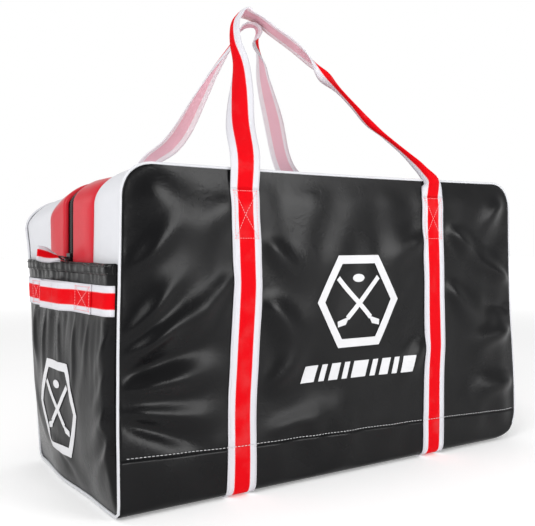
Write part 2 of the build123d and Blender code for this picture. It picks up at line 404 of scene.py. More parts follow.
# %% [markdown]
# The vinyl's grain is a fine pebble with soft creases over it. The webbing's weave is a chequer of ribs and
# yarns, made from two waves.

# %% Vinyl grain group
grain_group, g_in, g_out = new_group(
    "vinyl_grain",
    [("Vector", "NodeSocketVector", None), ("Grain Scale", "NodeSocketFloat", 900.0),
     ("Crease Scale", "NodeSocketFloat", 38.0)],
    [("Height", "NodeSocketFloat"), ("Scuff", "NodeSocketFloat"), ("Cloud", "NodeSocketFloat")])
g = Nodes(grain_group)
where = g_in.outputs["Vector"]
pebble = g.add("ShaderNodeTexVoronoi", {"Vector": where, "Scale": g_in.outputs["Grain Scale"]})
fine = g.noise(where, 260.0, 2.0)
crease = g.add("ShaderNodeTexNoise", {"Vector": where, "Scale": g_in.outputs["Crease Scale"],
                                      "Detail": 5.0, "Roughness": 0.62, "Distortion": 0.8}).outputs["Fac"]
ridge = g.math("ABSOLUTE", g.math("SUBTRACT", crease, 0.5))
ridge = g.ramp(ridge, 0.0, 0.09)
height = g.math("ADD", g.math("MULTIPLY", pebble.outputs["Distance"], 0.06), g.math("MULTIPLY", fine, 0.10))
height = g.math("ADD", height, g.math("MULTIPLY", ridge, 0.06))
height = g.math("ADD", height, g.math("MULTIPLY", crease, 0.55))
cloud = g.noise(where, 7.0, 3.0)
scuff = g.ramp(g.noise(where, 95.0, 6.0, 0.7), 0.60, 0.78)
grain_group.links.new(height, g_out.inputs["Height"])
grain_group.links.new(scuff, g_out.inputs["Scuff"])
grain_group.links.new(cloud, g_out.inputs["Cloud"])

# %% Woven webbing group
weave_group, w_in, w_out = new_group(
    "webbing_weave",
    [("Along", "NodeSocketFloat", 0.0), ("Across", "NodeSocketFloat", 0.0), ("Rib", "NodeSocketFloat", 0.0016),
     ("Yarn", "NodeSocketFloat", 0.0012)],
    [("Height", "NodeSocketFloat"), ("Thread", "NodeSocketFloat")])
w = Nodes(weave_group)


def cycle(nodes, value, pitch, shift=0.0):
    """A smooth wave from 0 to 1 with the given pitch."""
    turns = nodes.math("ADD", nodes.math("DIVIDE", value, pitch), shift)
    return nodes.math("MULTIPLY_ADD", nodes.math("SINE", nodes.math("MULTIPLY", turns, math.tau)), 0.5, 0.5)


rib = cycle(w, w_in.outputs["Along"], w_in.outputs["Rib"])
yarn = cycle(w, w_in.outputs["Across"], w_in.outputs["Yarn"])
offset_rib = cycle(w, w_in.outputs["Along"], w_in.outputs["Rib"], 0.5)
chequer = w.math("ADD", w.math("MULTIPLY", rib, yarn),
                 w.math("MULTIPLY", offset_rib, w.math("SUBTRACT", 1.0, yarn)))
weave_height = w.math("ADD", w.math("MULTIPLY", rib, 0.5), w.math("MULTIPLY", chequer, 0.5))
weave_group.links.new(weave_height, w_out.inputs["Height"])
weave_group.links.new(chequer, w_out.inputs["Thread"])
print("node groups", [grp.name for grp in bpy.data.node_groups])

# %% [markdown]
# ## Vinyl
# The wrap is woven polyester with a glossy coating. Its look is a tight sheen that breaks up over fine
# grain and small hard creases, so bump does more than colour. Black, white and red share one recipe.

# %% Vinyl materials


def vinyl(name, dark, light, rough_low, rough_high, bump, specular=0.5):
    """Coated vinyl: two close colours, a roughness range and a bump strength."""
    material, n = new_material(name)
    place = n.add("ShaderNodeTexCoord").outputs["Object"]
    grain = n.add("ShaderNodeGroup", node_tree=grain_group)
    n.tree.links.new(place, grain.inputs["Vector"])
    colour = n.mix(grain.outputs["Cloud"], dark, light)
    colour = n.mix(n.math("MULTIPLY", grain.outputs["Scuff"], 0.35), colour, light)
    rough = n.ramp(grain.outputs["Cloud"], 0.3, 0.7, rough_low, rough_high)
    rough = n.math("MULTIPLY_ADD", grain.outputs["Scuff"], 0.12, rough)
    shader = n.surface(colour, rough, grain.outputs["Height"], 0.0012, bump)
    shader.inputs["Specular IOR Level"].default_value = specular
    return material


black_vinyl = vinyl("black_vinyl", (0.0015, 0.0015, 0.002, 1), (0.004, 0.004, 0.0045, 1), 0.24, 0.36, 0.5, 0.17)
white_vinyl = vinyl("white_vinyl", (0.55, 0.555, 0.585, 1), (0.64, 0.645, 0.67, 1), 0.42, 0.55, 0.25, 0.3)
red_vinyl = vinyl("red_vinyl", (0.47, 0.006, 0.016, 1), (0.56, 0.012, 0.026, 1), 0.32, 0.44, 0.3, 0.3)
print_white = vinyl("printed_white", (0.60, 0.60, 0.62, 1), (0.68, 0.68, 0.69, 1), 0.35, 0.45, 0.2, 0.3)
print("vinyl in", [material.name for material in (black_vinyl, white_vinyl, red_vinyl, print_white)])

# %% [markdown]
# ## Webbing
# Carry webbing is woven with a red centre and white borders. The UV map holds metres across and along the
# web, so the stripe edges and the ribs are true to size on every strap, however it twists.

# %% Webbing material


def webbing(name, half_width, red_half, red=(0.66, 0.0, 0.004, 1), white=(0.64, 0.64, 0.68, 1)):
    """Striped webbing; the UV's first number is metres from its middle, the second metres along it."""
    material, n = new_material(name)
    split = n.add("ShaderNodeSeparateXYZ", {0: n.add("ShaderNodeTexCoord").outputs["UV"]})
    across, along = split.outputs[0], split.outputs[1]
    weave = n.add("ShaderNodeGroup", {"Along": along, "Across": across}, node_tree=weave_group)
    distance = n.math("ABSOLUTE", across)
    jag = n.math("MULTIPLY", n.math("SUBTRACT", weave.outputs["Thread"], 0.5), 0.0008)
    in_white = n.ramp(n.math("ADD", distance, jag), red_half - 0.0004, red_half + 0.0004)
    fleck = n.ramp(n.math("ABSOLUTE", n.math("SUBTRACT", distance, red_half)), 0.0, 0.0016, 0.45, 0.0)
    colour = n.mix(in_white, red, white)
    colour = n.mix(n.math("MULTIPLY", fleck, weave.outputs["Thread"]), colour, (0.85, 0.30, 0.33, 1))
    shade = n.ramp(weave.outputs["Height"], 0.0, 0.6, 0.13, 0.0)
    colour = n.mix(shade, colour, (0.25, 0.02, 0.03, 1))
    grime = n.math("MULTIPLY", n.ramp(n.noise(n.add("ShaderNodeTexCoord").outputs["Object"], 22.0, 5.0),
                                      0.5, 0.8), 0.10)
    colour = n.mix(grime, colour, (0.35, 0.30, 0.30, 1))
    selvedge = n.ramp(distance, half_width - 0.0022, half_width, 1.0, 0.0)
    high = n.math("MULTIPLY", weave.outputs["Height"], selvedge)
    rough = n.ramp(weave.outputs["Height"], 0.0, 1.0, 0.85, 0.62)
    n.surface(colour, rough, high, 0.0005, 0.5).inputs["Specular IOR Level"].default_value = 0.07
    return material


RED_PART = 0.27           # of the whole width, from the middle to the white border
strap_webbing = webbing("strap_webbing", STRAP_WIDE / 2, STRAP_WIDE * RED_PART)
band_low, band_high = corners("right_pocket_band")
BAND_WIDE = band_high[2] - band_low[2]
band_webbing = webbing("band_webbing", BAND_WIDE / 2, BAND_WIDE * RED_PART)
print("webbing", round(STRAP_WIDE * 1000), "mm and", round(BAND_WIDE * 1000), "mm wide")

# %% [markdown]
# ## Small materials
# Thread, zip tape, zip plastic, lacquered metal and the board share one simple recipe: two close colours
# mottled together, with a slight bump.

# %% Small materials


def plain_fabric(name, base, tint, scale, rough, bump_distance):
    """Two colours mottled at a scale, on Object coordinates."""
    material, n = new_material(name)
    place = n.add("ShaderNodeTexCoord").outputs["Object"]
    mottle = n.noise(place, scale, 4.0)
    n.surface(n.mix(mottle, base, tint), n.ramp(mottle, 0.3, 0.7, rough - 0.08, rough + 0.05),
              mottle, bump_distance, 0.6)
    return material


grey_thread = plain_fabric("grey_thread", (0.42, 0.42, 0.43, 1), (0.62, 0.62, 0.63, 1), 900, 0.6, 0.0003)
black_thread = plain_fabric("black_thread", (0.02, 0.02, 0.02, 1), (0.06, 0.06, 0.06, 1), 900, 0.6, 0.0003)
pink_thread = plain_fabric("pink_thread", (0.72, 0.20, 0.22, 1), (0.85, 0.42, 0.44, 1), 900, 0.6, 0.0003)
zip_tape = plain_fabric("zip_tape", (0.003, 0.003, 0.003, 1), (0.010, 0.010, 0.010, 1), 700, 0.85, 0.0004)
zip_tape.node_tree.nodes["Principled BSDF"].inputs["Specular IOR Level"].default_value = 0.1
zip_plastic = plain_fabric("zip_plastic", (0.012, 0.012, 0.012, 1), (0.03, 0.03, 0.03, 1), 120, 0.42, 0.0001)
dark_metal = plain_fabric("dark_metal", (0.02, 0.02, 0.022, 1), (0.07, 0.07, 0.075, 1), 160, 0.3, 0.0001)
dark_metal.node_tree.nodes["Principled BSDF"].inputs["Metallic"].default_value = 0.8
print("materials", len(bpy.data.materials))

# %% [markdown]
# ## The wrap: front, bottom and back
# On the real bag one wide piece of vinyl runs down the front, under the base and up the back. It is made
# here as one grid over that path, so that its folds run on over the seams, and is then cut at the stitch
# line into the front panel, the bottom panel and the back panel.

# %% The wrap's path
TOP_ARC_STEPS = 7
FLAT_STEP = 0.0085
WRAP_COLUMNS = 97


def wrap_rows():
    """Heights of the front panel's grid rows, from its top edge down to where it turns under the bag."""
    rows = []
    for k in range(TOP_ARC_STEPS):
        turn = math.radians(90 * (1 - k / TOP_ARC_STEPS))
        rows.append(TOP_Z - TOP_RADIUS + TOP_RADIUS * math.sin(turn))
    below = np.linspace(TOP_Z - TOP_RADIUS, STITCH_Z, round((TOP_Z - TOP_RADIUS - STITCH_Z) / FLAT_STEP) + 1)
    rise = np.linspace(STITCH_Z, BASE_RADIUS + BASE_LIFT, 7)[1:]
    return np.concatenate([rows, below, rise])


front_z = wrap_rows()
arc_turns = np.radians(np.linspace(0, 90, 6))[1:]
base_flat = np.linspace(-(SIDE_Y - BASE_RADIUS), SIDE_Y - BASE_RADIUS, 34)[1:]
path_y = np.concatenate([
    np.full(len(front_z), -SIDE_Y),
    -(SIDE_Y - BASE_RADIUS) - BASE_RADIUS * np.cos(arc_turns)])
path_z = np.concatenate([front_z, BASE_LIFT + BASE_RADIUS * (1 - np.sin(arc_turns))])
middle_y = base_flat[:-1]
path_y = np.concatenate([path_y, middle_y, -path_y[::-1]])
path_z = np.concatenate([path_z, np.full(len(middle_y), BASE_LIFT), path_z[::-1]])
path_s = run_length(np.stack([path_y, path_z], -1))


def half_length(z):
    """Half of the wrap's length at a height: shorter where the top corners are rounded."""
    rise = np.clip(z - (TOP_Z - TOP_RADIUS), 0, TOP_RADIUS)
    return END_X - (TOP_RADIUS - np.sqrt(np.maximum(TOP_RADIUS ** 2 - rise ** 2, 0)))


column_u = np.linspace(-1, 1, WRAP_COLUMNS)
wrap_x = half_length(path_z)[:, None] * column_u[None, :]
wrap_points = np.stack([wrap_x, np.repeat(path_y[:, None], WRAP_COLUMNS, 1),
                        np.repeat(path_z[:, None], WRAP_COLUMNS, 1)], -1)
wrap_out = np.zeros_like(wrap_points)
wrap_out[..., 1] = np.sign(wrap_points[..., 1]) * (path_z > BASE_RADIUS - 1e-6)[:, None]
print("wrap grid", wrap_points.shape, "path length", round(path_s[-1], 3))

# %% [markdown]
# Vinyl is stiff, so it puckers in a few long folds that start at what holds it: the piping, the straps'
# box stitches and the stitch line. Each fold is a ridge with a start, an end, a width and a height.

# %% Folds on the wrap


def fold(x, z, start, end, width, height):
    """A ridge from start to end that fades out along its length and to its sides."""
    start = np.array(start, float)
    end = np.array(end, float)
    along = end - start
    length = np.hypot(*along)
    dx = x - start[0]
    dz = z - start[1]
    t = (dx * along[0] + dz * along[1]) / length ** 2
    side = (dx * -along[1] + dz * along[0]) / length
    spread = 1.35 * width * (0.45 + 0.9 * np.clip(t, 0, 1))
    fade = smooth_step(t, -0.08, 0.22) * (1 - smooth_step(t, 0.35, 1.08))
    return height * fade * np.exp(-(side / spread) ** 2)


FRONT_FOLDS = [
    ((-0.400, 0.215), (-0.255, 0.300), 0.011, 0.0070),
    ((-0.402, 0.240), (-0.300, 0.345), 0.010, 0.0055),
    ((-0.402, 0.190), (-0.250, 0.235), 0.010, -0.0050),
    ((-0.402, 0.170), (-0.235, 0.190), 0.013, 0.0065),
    ((-0.402, 0.140), (-0.240, 0.115), 0.012, 0.0050),
    ((-0.402, 0.125), (-0.270, 0.075), 0.009, -0.0045),
    ((-0.395, 0.330), (-0.300, 0.430), 0.013, 0.0040),
    ((-0.370, 0.480), (-0.285, 0.340), 0.030, 0.0030),
    ((-0.228, 0.330), (-0.330, 0.220), 0.016, 0.0045),
    ((-0.226, 0.440), (-0.300, 0.370), 0.024, 0.0026),
    ((-0.172, 0.380), (-0.080, 0.300), 0.018, 0.0040),
    ((-0.172, 0.290), (-0.090, 0.200), 0.022, 0.0045),
    ((-0.172, 0.150), (-0.060, 0.230), 0.020, 0.0040),
    ((-0.170, 0.090), (0.030, 0.110), 0.016, 0.0035),
    ((0.172, 0.385), (0.060, 0.330), 0.020, 0.0040),
    ((0.172, 0.200), (0.080, 0.120), 0.020, 0.0045),
    ((0.230, 0.400), (0.330, 0.330), 0.016, 0.0055),
    ((0.228, 0.300), (0.320, 0.210), 0.018, 0.0055),
    ((0.402, 0.300), (0.290, 0.350), 0.013, 0.0060),
    ((0.402, 0.210), (0.270, 0.180), 0.014, 0.0060),
    ((0.402, 0.120), (0.280, 0.110), 0.012, 0.0055),
    ((0.385, 0.460), (0.300, 0.380), 0.016, 0.0045),
    ((0.402, 0.250), (0.320, 0.260), 0.009, -0.0040),
]


def panel_relief(x, z, folds, seed):
    """How far the vinyl stands out from a flat panel, in metres."""
    edge = 1 - np.abs(x) / half_length(z)
    hold = smooth_step(edge * END_X, 0.0, 0.05) * smooth_step(TOP_Z - z, 0.0, 0.05)
    near_strap = np.minimum(np.abs(x - STRAP_X), np.abs(x + STRAP_X))
    strap_hold = 0.35 + 0.65 * smooth_step(near_strap, STRAP_WIDE * 0.4, STRAP_WIDE * 1.3)
    floor_hold = smooth_step(z, 0.0, 0.09)
    spots = np.stack([x, z, np.zeros_like(x)], -1)
    relief = 0.0050 * hold * floor_hold
    relief = relief + 0.0062 * waves(spots * [1, 0.8, 1], 6.0, seed) * hold * strap_hold * floor_hold
    relief = relief + 0.0036 * waves(spots * [1.3, 0.8, 1], 14.0, seed + 9) * hold * strap_hold
    gentle = smooth_step(edge * END_X, 0.0, 0.012)
    for start, end, width, height in folds:
        relief = relief + 1.9 * fold(x, z, start, end, width, height) * gentle * floor_hold
    pucker = np.exp(-(edge * END_X / 0.020) ** 2) * gentle * floor_hold
    relief = relief + pucker * 0.0022 * waves(spots * [0.2, 1, 1], 42.0, seed + 4)
    seam_pucker = np.exp(-((z - STITCH_Z) / 0.022) ** 2)
    relief = relief + seam_pucker * 0.0016 * waves(spots * [1, 0.15, 1], 36.0, seed + 2) * hold
    return relief


def mirrored(folds):
    """The same folds seen from the other side."""
    return [((-a, b), (-c, d), wide, high) for (a, b), (c, d), wide, high in folds]


front_relief = panel_relief(wrap_points[..., 0], wrap_points[..., 2], FRONT_FOLDS, 3.0)
back_relief = panel_relief(wrap_points[..., 0], wrap_points[..., 2], mirrored(FRONT_FOLDS), 31.0)
is_back = wrap_points[..., 1] > 0
wrap_points = wrap_points + wrap_out * np.where(is_back, back_relief, front_relief)[..., None]
wrap_points = slump(wrap_points)
print("front relief mm", round(front_relief.min() * 1000, 1), "to", round(front_relief.max() * 1000, 1))

# %% Cut the wrap into its three panels
wrap_uv = np.stack([wrap_x, np.repeat(path_s[:, None], WRAP_COLUMNS, 1)], -1)
stitch_row = int(np.argmin(np.abs(front_z - STITCH_Z)))
last_row = len(path_s) - 1
SHEET_THICK = 0.0016
wrap_parts = {
    "front_panel": (0, stitch_row),
    "bottom_panel": (stitch_row, last_row - stitch_row),
    "back_panel": (last_row - stitch_row, last_row),
}
bag_middle = (0, 0, TOP_Z / 2)
for part_name, (first, last) in wrap_parts.items():
    rows = slice(first, last + 1)
    panel = grid_piece("vinyl_" + part_name, wrap_points[rows], wrap_uv[rows], bag_middle)
    thicken(panel, SHEET_THICK)
    finish_piece(panel, black_vinyl)
    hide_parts(part_name)
    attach(panel, "bag")
    print(panel.name, len(panel.data.vertices), "points")

# %% [markdown]
# ## Finding a place on the wrap
# Straps, stitches and the badge all lie on the wrap. As it is a regular grid, a place on it is found by
# its distance along the bag and down the path, and the point there and the way it faces are blended from
# the nearest grid points.

# %% Place finder


def on_wrap(x, s, lift):
    """Points that stand lift metres off the wrap at distance x along the bag and s down the path."""
    x = np.asarray(x, float)
    s = np.asarray(s, float)
    row = np.interp(s, path_s, np.arange(len(path_s)))
    column = (x / half_length(np.interp(s, path_s, path_z)) + 1) / 2 * (WRAP_COLUMNS - 1)
    point, across, down = on_grid(wrap_points, row, column)
    return point + unit(np.cross(down, across)) * np.asarray(lift, float)[..., None]


def front_s(z):
    """Path length down the front panel at a height."""
    return np.interp(-np.asarray(z, float), -front_z, path_s[:len(front_z)])


probe = on_wrap(np.array([0.0]), front_s(np.array([0.25])), 0.01)
print("a point 10 mm off the front", np.round(probe, 3))

# %% [markdown]
# ## The gusset: white and red strips with the zip between them
# The gusset is a long ribbon that climbs one end, crosses the top and goes down the other end. It is four
# strips of vinyl, white and red on each side of the zip. Each strip is one piece of cloth as far as the
# middle of the bag, because its end stays put while its top folds open.

# %% Gusset path
GUSSET_FOOT = 0.250       # hidden behind the pocket


def end_path(step):
    """Points (x, z) and outward directions up the left end, round the corner and to the middle of the top."""
    climb = np.arange(GUSSET_FOOT, TOP_Z - TOP_RADIUS, step)
    turns = np.linspace(0, math.pi / 2, 13)
    across = np.arange(-END_X + TOP_RADIUS, 0, step)[1:]
    x = np.concatenate([np.full(len(climb), -END_X), -END_X + TOP_RADIUS * (1 - np.cos(turns)), across, [0.0]])
    z = np.concatenate([climb, TOP_Z - TOP_RADIUS * (1 - np.sin(turns)), np.full(len(across) + 1, TOP_Z)])
    nx = np.concatenate([np.full(len(climb), -1.0), -np.cos(turns), np.zeros(len(across) + 1)])
    nz = np.concatenate([np.zeros(len(climb)), np.sin(turns), np.ones(len(across) + 1)])
    return x, z, nx, nz, run_length(np.stack([x, z], -1))


path = end_path(0.0085)
SEAM_Y = SIDE_Y - 0.0022
WHITE_SHAPE = [(SEAM_Y, -0.0004), (0.172, 0.0006), (0.160, 0.0024), (0.145, 0.0036), (0.125, 0.0040),
               (0.105, 0.0032), (0.092, 0.0016), (RED_EDGE + 0.0015, 0.0001), (RED_EDGE, -0.0012)]
RED_SHAPE = [(RED_EDGE, -0.0012), (RED_EDGE - 0.0015, 0.0008), (0.076, 0.0024), (0.064, 0.0046), (0.050, 0.0056),
             (0.036, 0.0050), (0.026, 0.0046), (0.0215, 0.0046), (0.0180, 0.0034), (0.0166, 0.0006),
             (0.0163, -0.0030)]

# %% Gusset helpers


def gusset_strip(name, shape, side, half, seed, ripple):
    """A strip over one quarter of the gusset. shape lists (distance from the zip, stand-off)."""
    x, z, nx, nz, distance = path
    y = np.array([p[0] for p in shape])
    stand = np.array([p[1] for p in shape])
    on_top = smooth_step(nz, 0.6, 1.0)[:, None]
    rows = np.repeat(distance[:, None], len(y), 1)
    cols = np.repeat(y[None, :], len(distance), 0)
    spots = np.stack([rows * 0.35, cols, np.zeros_like(rows)], -1)
    middle = np.clip(stand / 0.004, 0, 1)[None, :]
    out = stand[None, :] * (1 - 0.45 * on_top)
    out = out + middle * ripple * (waves(spots, 30.0, seed) + 0.5 * waves(spots * [2.4, 1, 1], 55.0, seed + 3))
    out = out - middle * on_top * 0.0035 * np.sin(np.clip(-x / END_X, 0, 1) * math.pi / 2 + math.pi / 2)[:, None]
    points = np.stack([side * np.abs(x[:, None] + nx[:, None] * out), half * cols,
                       z[:, None] + nz[:, None] * out], -1)
    return grid_piece(name, slump(points), np.stack([cols, rows], -1), bag_middle)


def ride_half(piece):
    """Bake a gusset piece's transform into its mesh."""
    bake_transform(piece)

# %% Gusset strips and zip tapes
GUSSET_THICK = 0.0014
TAPE_SHAPE = [(0.0178, -0.0038), (0.0120, -0.0034), (0.0084, -0.0018), (0.0034, -0.0016)]
for side, side_name in SIDES:
    for half, half_name in HALVES:
        seed = 5.0 + 3 * side + half
        for colour, shape, material, ripple in (
                ("white", WHITE_SHAPE, white_vinyl, 0.0010), ("red", RED_SHAPE, red_vinyl, 0.0012)):
            strip = gusset_strip(f"{colour}_strip_{side_name}_{half_name}", shape, side, half, seed, ripple)
            thicken(strip, GUSSET_THICK)
            finish_piece(strip, material)
            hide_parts(f"{side_name}_{half_name}_{colour}", f"{half_name}_flap_{colour}")
            ride_half(strip)
        tape = gusset_strip(f"zip_tape_{side_name}_{half_name}", TAPE_SHAPE, side, half, seed, 0.0)
        thicken(tape, 0.0010)
        finish_piece(tape, zip_tape)
        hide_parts(f"{side_name}_{half_name}_tape", f"{half_name}_flap_tape")
        ride_half(tape)
print("gusset strips made, path", round(path[4][-1], 3), "m each half")

# %% [markdown]
# ## Repeats on a path, by Geometry Nodes
# Zip teeth and stitches are one small shape repeated at an even pitch. One node tree does both: it turns
# the mesh line into a curve, samples it at the pitch, turns each copy along it, and realizes the copies,
# because an exported model can't hold instances.

# %% Repeat tree


def repeat_tree():
    """The node tree, and the identifier of each of its inputs by label."""
    tree = bpy.data.node_groups.new("repeat_on_path", "GeometryNodeTree")
    sockets = {}
    for kind in ("Geometry", "Object", "Float", "Material"):
        label = {"Object": "Shape", "Float": "Pitch"}.get(kind, kind)
        item = tree.interface.new_socket(label, in_out="INPUT", socket_type="NodeSocket" + kind)
        sockets[label] = item.identifier
    tree.interface.new_socket("Geometry", in_out="OUTPUT", socket_type="NodeSocketGeometry")
    start = tree.nodes.new("NodeGroupInput")
    end = tree.nodes.new("NodeGroupOutput")
    curve = tree.nodes.new("GeometryNodeMeshToCurve")
    to_points = tree.nodes.new("GeometryNodeCurveToPoints")
    to_points.mode = "LENGTH"
    shape = tree.nodes.new("GeometryNodeObjectInfo")
    place = tree.nodes.new("GeometryNodeInstanceOnPoints")
    realize = tree.nodes.new("GeometryNodeRealizeInstances")
    paint = tree.nodes.new("GeometryNodeSetMaterial")
    turn = tree.nodes.new("FunctionNodeAxesToRotation")
    turn.primary_axis = "X"
    turn.secondary_axis = "Z"
    facing = tree.nodes.new("GeometryNodeInputNamedAttribute")
    facing.data_type = "FLOAT_VECTOR"
    facing.inputs["Name"].default_value = "facing"
    links = tree.links
    links.new(start.outputs["Geometry"], curve.inputs["Mesh"])
    links.new(curve.outputs["Curve"], to_points.inputs["Curve"])
    links.new(start.outputs["Pitch"], to_points.inputs["Length"])
    links.new(start.outputs["Shape"], shape.inputs["Object"])
    links.new(to_points.outputs["Points"], place.inputs["Points"])
    links.new(shape.outputs["Geometry"], place.inputs["Instance"])
    links.new(to_points.outputs["Tangent"], turn.inputs["Primary Axis"])
    links.new(facing.outputs["Attribute"], turn.inputs["Secondary Axis"])
    links.new(turn.outputs["Rotation"], place.inputs["Rotation"])
    links.new(place.outputs["Instances"], realize.inputs["Geometry"])
    links.new(realize.outputs["Geometry"], paint.inputs["Geometry"])
    links.new(start.outputs["Material"], paint.inputs["Material"])
    links.new(paint.outputs["Geometry"], end.inputs["Geometry"])
    return tree, sockets


REPEAT, REPEAT_SOCKETS = repeat_tree()

# %% Shapes to repeat


def small_shape(name, sections):
    """A closed lozenge along X: sections lists (x, half width, half height)."""
    points = []
    for x, wide, tall in sections:
        points += [(x, -wide, 0), (x, -wide * 0.6, tall), (x, wide * 0.6, tall), (x, wide, 0)]
    faces = []
    for k in range(len(sections) - 1):
        a = 4 * k
        faces += [(a + i, a + i + 1, a + i + 5, a + i + 4) for i in range(3)]
        faces.append((a + 3, a, a + 4, a + 7))
    last = 4 * (len(sections) - 1)
    faces += [(3, 2, 1, 0), (last, last + 1, last + 2, last + 3)]
    mesh = bpy.data.meshes.new(name)
    mesh.from_pydata(points, [], faces)
    mesh.update()
    work = bmesh.new()
    work.from_mesh(mesh)
    bmesh.ops.recalc_face_normals(work, faces=work.faces)
    work.to_mesh(mesh)
    work.free()
    piece = add_object(name, mesh)
    piece.hide_render = True
    piece.hide_viewport = True
    return piece


stitch_shape = small_shape("stitch_shape", [(-0.0022, 0.0002, 0.0001), (-0.0014, 0.0005, 0.0006),
                                            (0.0014, 0.0005, 0.0006), (0.0022, 0.0002, 0.0001)])
fine_stitch = small_shape("fine_stitch", [(-0.0014, 0.0002, 0.0001), (-0.0009, 0.00045, 0.0005),
                                          (0.0009, 0.00045, 0.0005), (0.0014, 0.0002, 0.0001)])
tooth_shape = small_shape("tooth_shape", [(-0.0011, 0.0019, 0.0008), (-0.0006, 0.0023, 0.0017),
                                          (0.0006, 0.0023, 0.0017), (0.0011, 0.0019, 0.0008)])

# %% Lay copies along lines


def repeat_on(name, lines, shape, pitch, material):
    """Lay copies of a shape along lines. Each line is (points, outward directions)."""
    points = []
    edges = []
    facing = []
    for line, outward in lines:
        base = len(points)
        points += [tuple(p) for p in line]
        facing += [tuple(n) for n in outward]
        edges += [(base + k, base + k + 1) for k in range(len(line) - 1)]
    mesh = bpy.data.meshes.new(name)
    mesh.from_pydata(points, edges, [])
    data = mesh.attributes.new("facing", "FLOAT_VECTOR", "POINT")
    data.data.foreach_set("vector", np.array(facing, np.float32).ravel())
    holder = add_object(name + "_path", mesh)
    modifier = holder.modifiers.new("repeat", "NODES")
    modifier.node_group = REPEAT
    for label, value in (("Shape", shape), ("Pitch", pitch), ("Material", material)):
        modifier[REPEAT_SOCKETS[label]] = value
    shape.hide_viewport = False
    bpy.context.view_layer.update()
    graph = bpy.context.evaluated_depsgraph_get()
    made = bpy.data.meshes.new_from_object(holder.evaluated_get(graph))
    shape.hide_viewport = True
    made.name = name
    bpy.data.objects.remove(holder)
    return add_object(name, made)

# %% [markdown]
# ## Zip teeth
# Two rows of teeth run down the middle of the tapes. Each row starts half a tooth away from the other, so
# that they mesh.

# %% Zip teeth
TOOTH_PITCH = 0.0036
TOOTH_Y = 0.0017          # from the middle of the zip to the middle of a row
TOOTH_DROP = -0.0012
for side, side_name in SIDES:
    for half, half_name in HALVES:
        x, z, nx, nz, distance = end_path(0.006)
        keep = z > GUSSET_FOOT + 0.04
        shift = 0.25 * TOOTH_PITCH * half
        teeth_y = np.full(keep.sum(), half * TOOTH_Y)
        line = np.stack([(x + nx * TOOTH_DROP)[keep], teeth_y, (z + nz * TOOTH_DROP)[keep]], -1)
        line[0, 2] += shift
        line[:, 0] *= -side
        outward = np.stack([nx[keep] * -side, np.zeros(keep.sum()), nz[keep]], -1)
        teeth = repeat_on(f"zip_teeth_{side_name}_{half_name}", [(slump(line), outward)], tooth_shape,
                          TOOTH_PITCH, zip_plastic)
        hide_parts(f"{side_name}_{half_name}_teeth", f"{half_name}_flap_teeth")
        ride_half(teeth)
        print(teeth.name, len(teeth.data.polygons), "faces")

# %% [markdown]
# ## Piping
# White piping closes every seam between the wrap and the ends: a U round each end panel and an arch over the
# top at the front and the back. On the real bag it is a cord in a folded strip; a tube is enough to show it.

# %% Tubes and rounded lines


def tube(name, centres, radius, sides=10, steady=(0, 1, 0)):
    """A round tube along a line of centres, with a UV in metres."""
    centres = np.array(centres, float)
    tangent = unit(np.gradient(centres, axis=0))
    first = unit(np.cross(tangent, np.array(steady, float)))
    second = np.cross(tangent, first)
    turn = np.linspace(0, math.tau, sides, endpoint=False)
    ring = first[:, None] * np.cos(turn)[None, :, None] + second[:, None] * np.sin(turn)[None, :, None]
    points = centres[:, None] + ring * radius
    uv = np.stack(np.broadcast_arrays(turn[None, :] * radius, run_length(centres)[:, None]), -1)
    return grid_piece(name, points, uv, close_u=True)


def resample(points, step):
    """Even points along a polyline."""
    points = np.array(points, float)
    along = run_length(points)
    want = np.linspace(0, along[-1], max(3, round(along[-1] / step) + 1))
    return np.stack([np.interp(want, along, points[:, k]) for k in range(3)], -1)


def rounded(corner, start, end, radius, steps=7):
    """Points of a round corner between two directions from the corner."""
    corner, start, end = (np.array(p, float) for p in (corner, start, end))
    a, b = unit(start - corner), unit(end - corner)
    turn = np.linspace(0, math.pi / 2, steps)
    return [corner + a * radius * (1 - math.sin(t)) + b * radius * (1 - math.cos(t)) for t in turn]

# %% Make the piping
PIPE_R = 0.0021
PIPE_X = END_X + 0.0016
PIPE_Y = SIDE_Y - 0.0008
PIPE_FLOOR = 0.0046
for side, side_name in SIDES:
    x = side * PIPE_X
    feet = [(x, -PIPE_Y, TOP_Z - TOP_RADIUS)]
    feet += rounded((x, -PIPE_Y, PIPE_FLOOR), (x, -PIPE_Y, 1), (x, PIPE_Y, PIPE_FLOOR), BASE_RADIUS)
    feet += rounded((x, PIPE_Y, PIPE_FLOOR), (x, -PIPE_Y, PIPE_FLOOR), (x, PIPE_Y, 1), BASE_RADIUS)
    feet += [(x, PIPE_Y, TOP_Z - TOP_RADIUS)]
    centres = slump(resample(feet, 0.010))
    centres[:, 1] += 0.0007 * waves(centres, 24.0, 8.0)
    pipe = tube("piping_" + side_name, centres, PIPE_R, steady=(1, 0, 0))
    finish_piece(pipe, white_vinyl)
    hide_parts(side_name + "_piping")
    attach(pipe, "bag")
for half, half_name in HALVES:
    y = half * PIPE_Y
    top = TOP_Z + 0.0012
    arch = [(-PIPE_X, y, TOP_Z - TOP_RADIUS)]
    arch += rounded((-PIPE_X, y, top), (-PIPE_X, y, 0), (0, y, top), TOP_RADIUS)
    arch += rounded((PIPE_X, y, top), (0, y, top), (PIPE_X, y, 0), TOP_RADIUS)
    arch += [(PIPE_X, y, TOP_Z - TOP_RADIUS)]
    pipe = tube("piping_" + half_name, slump(resample(arch, 0.009)), PIPE_R, steady=(0, 1, 0))
    finish_piece(pipe, white_vinyl)
    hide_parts(half_name + "_piping")
    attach(pipe, "bag")
print("piping", round(2000 * PIPE_R, 1), "mm thick")

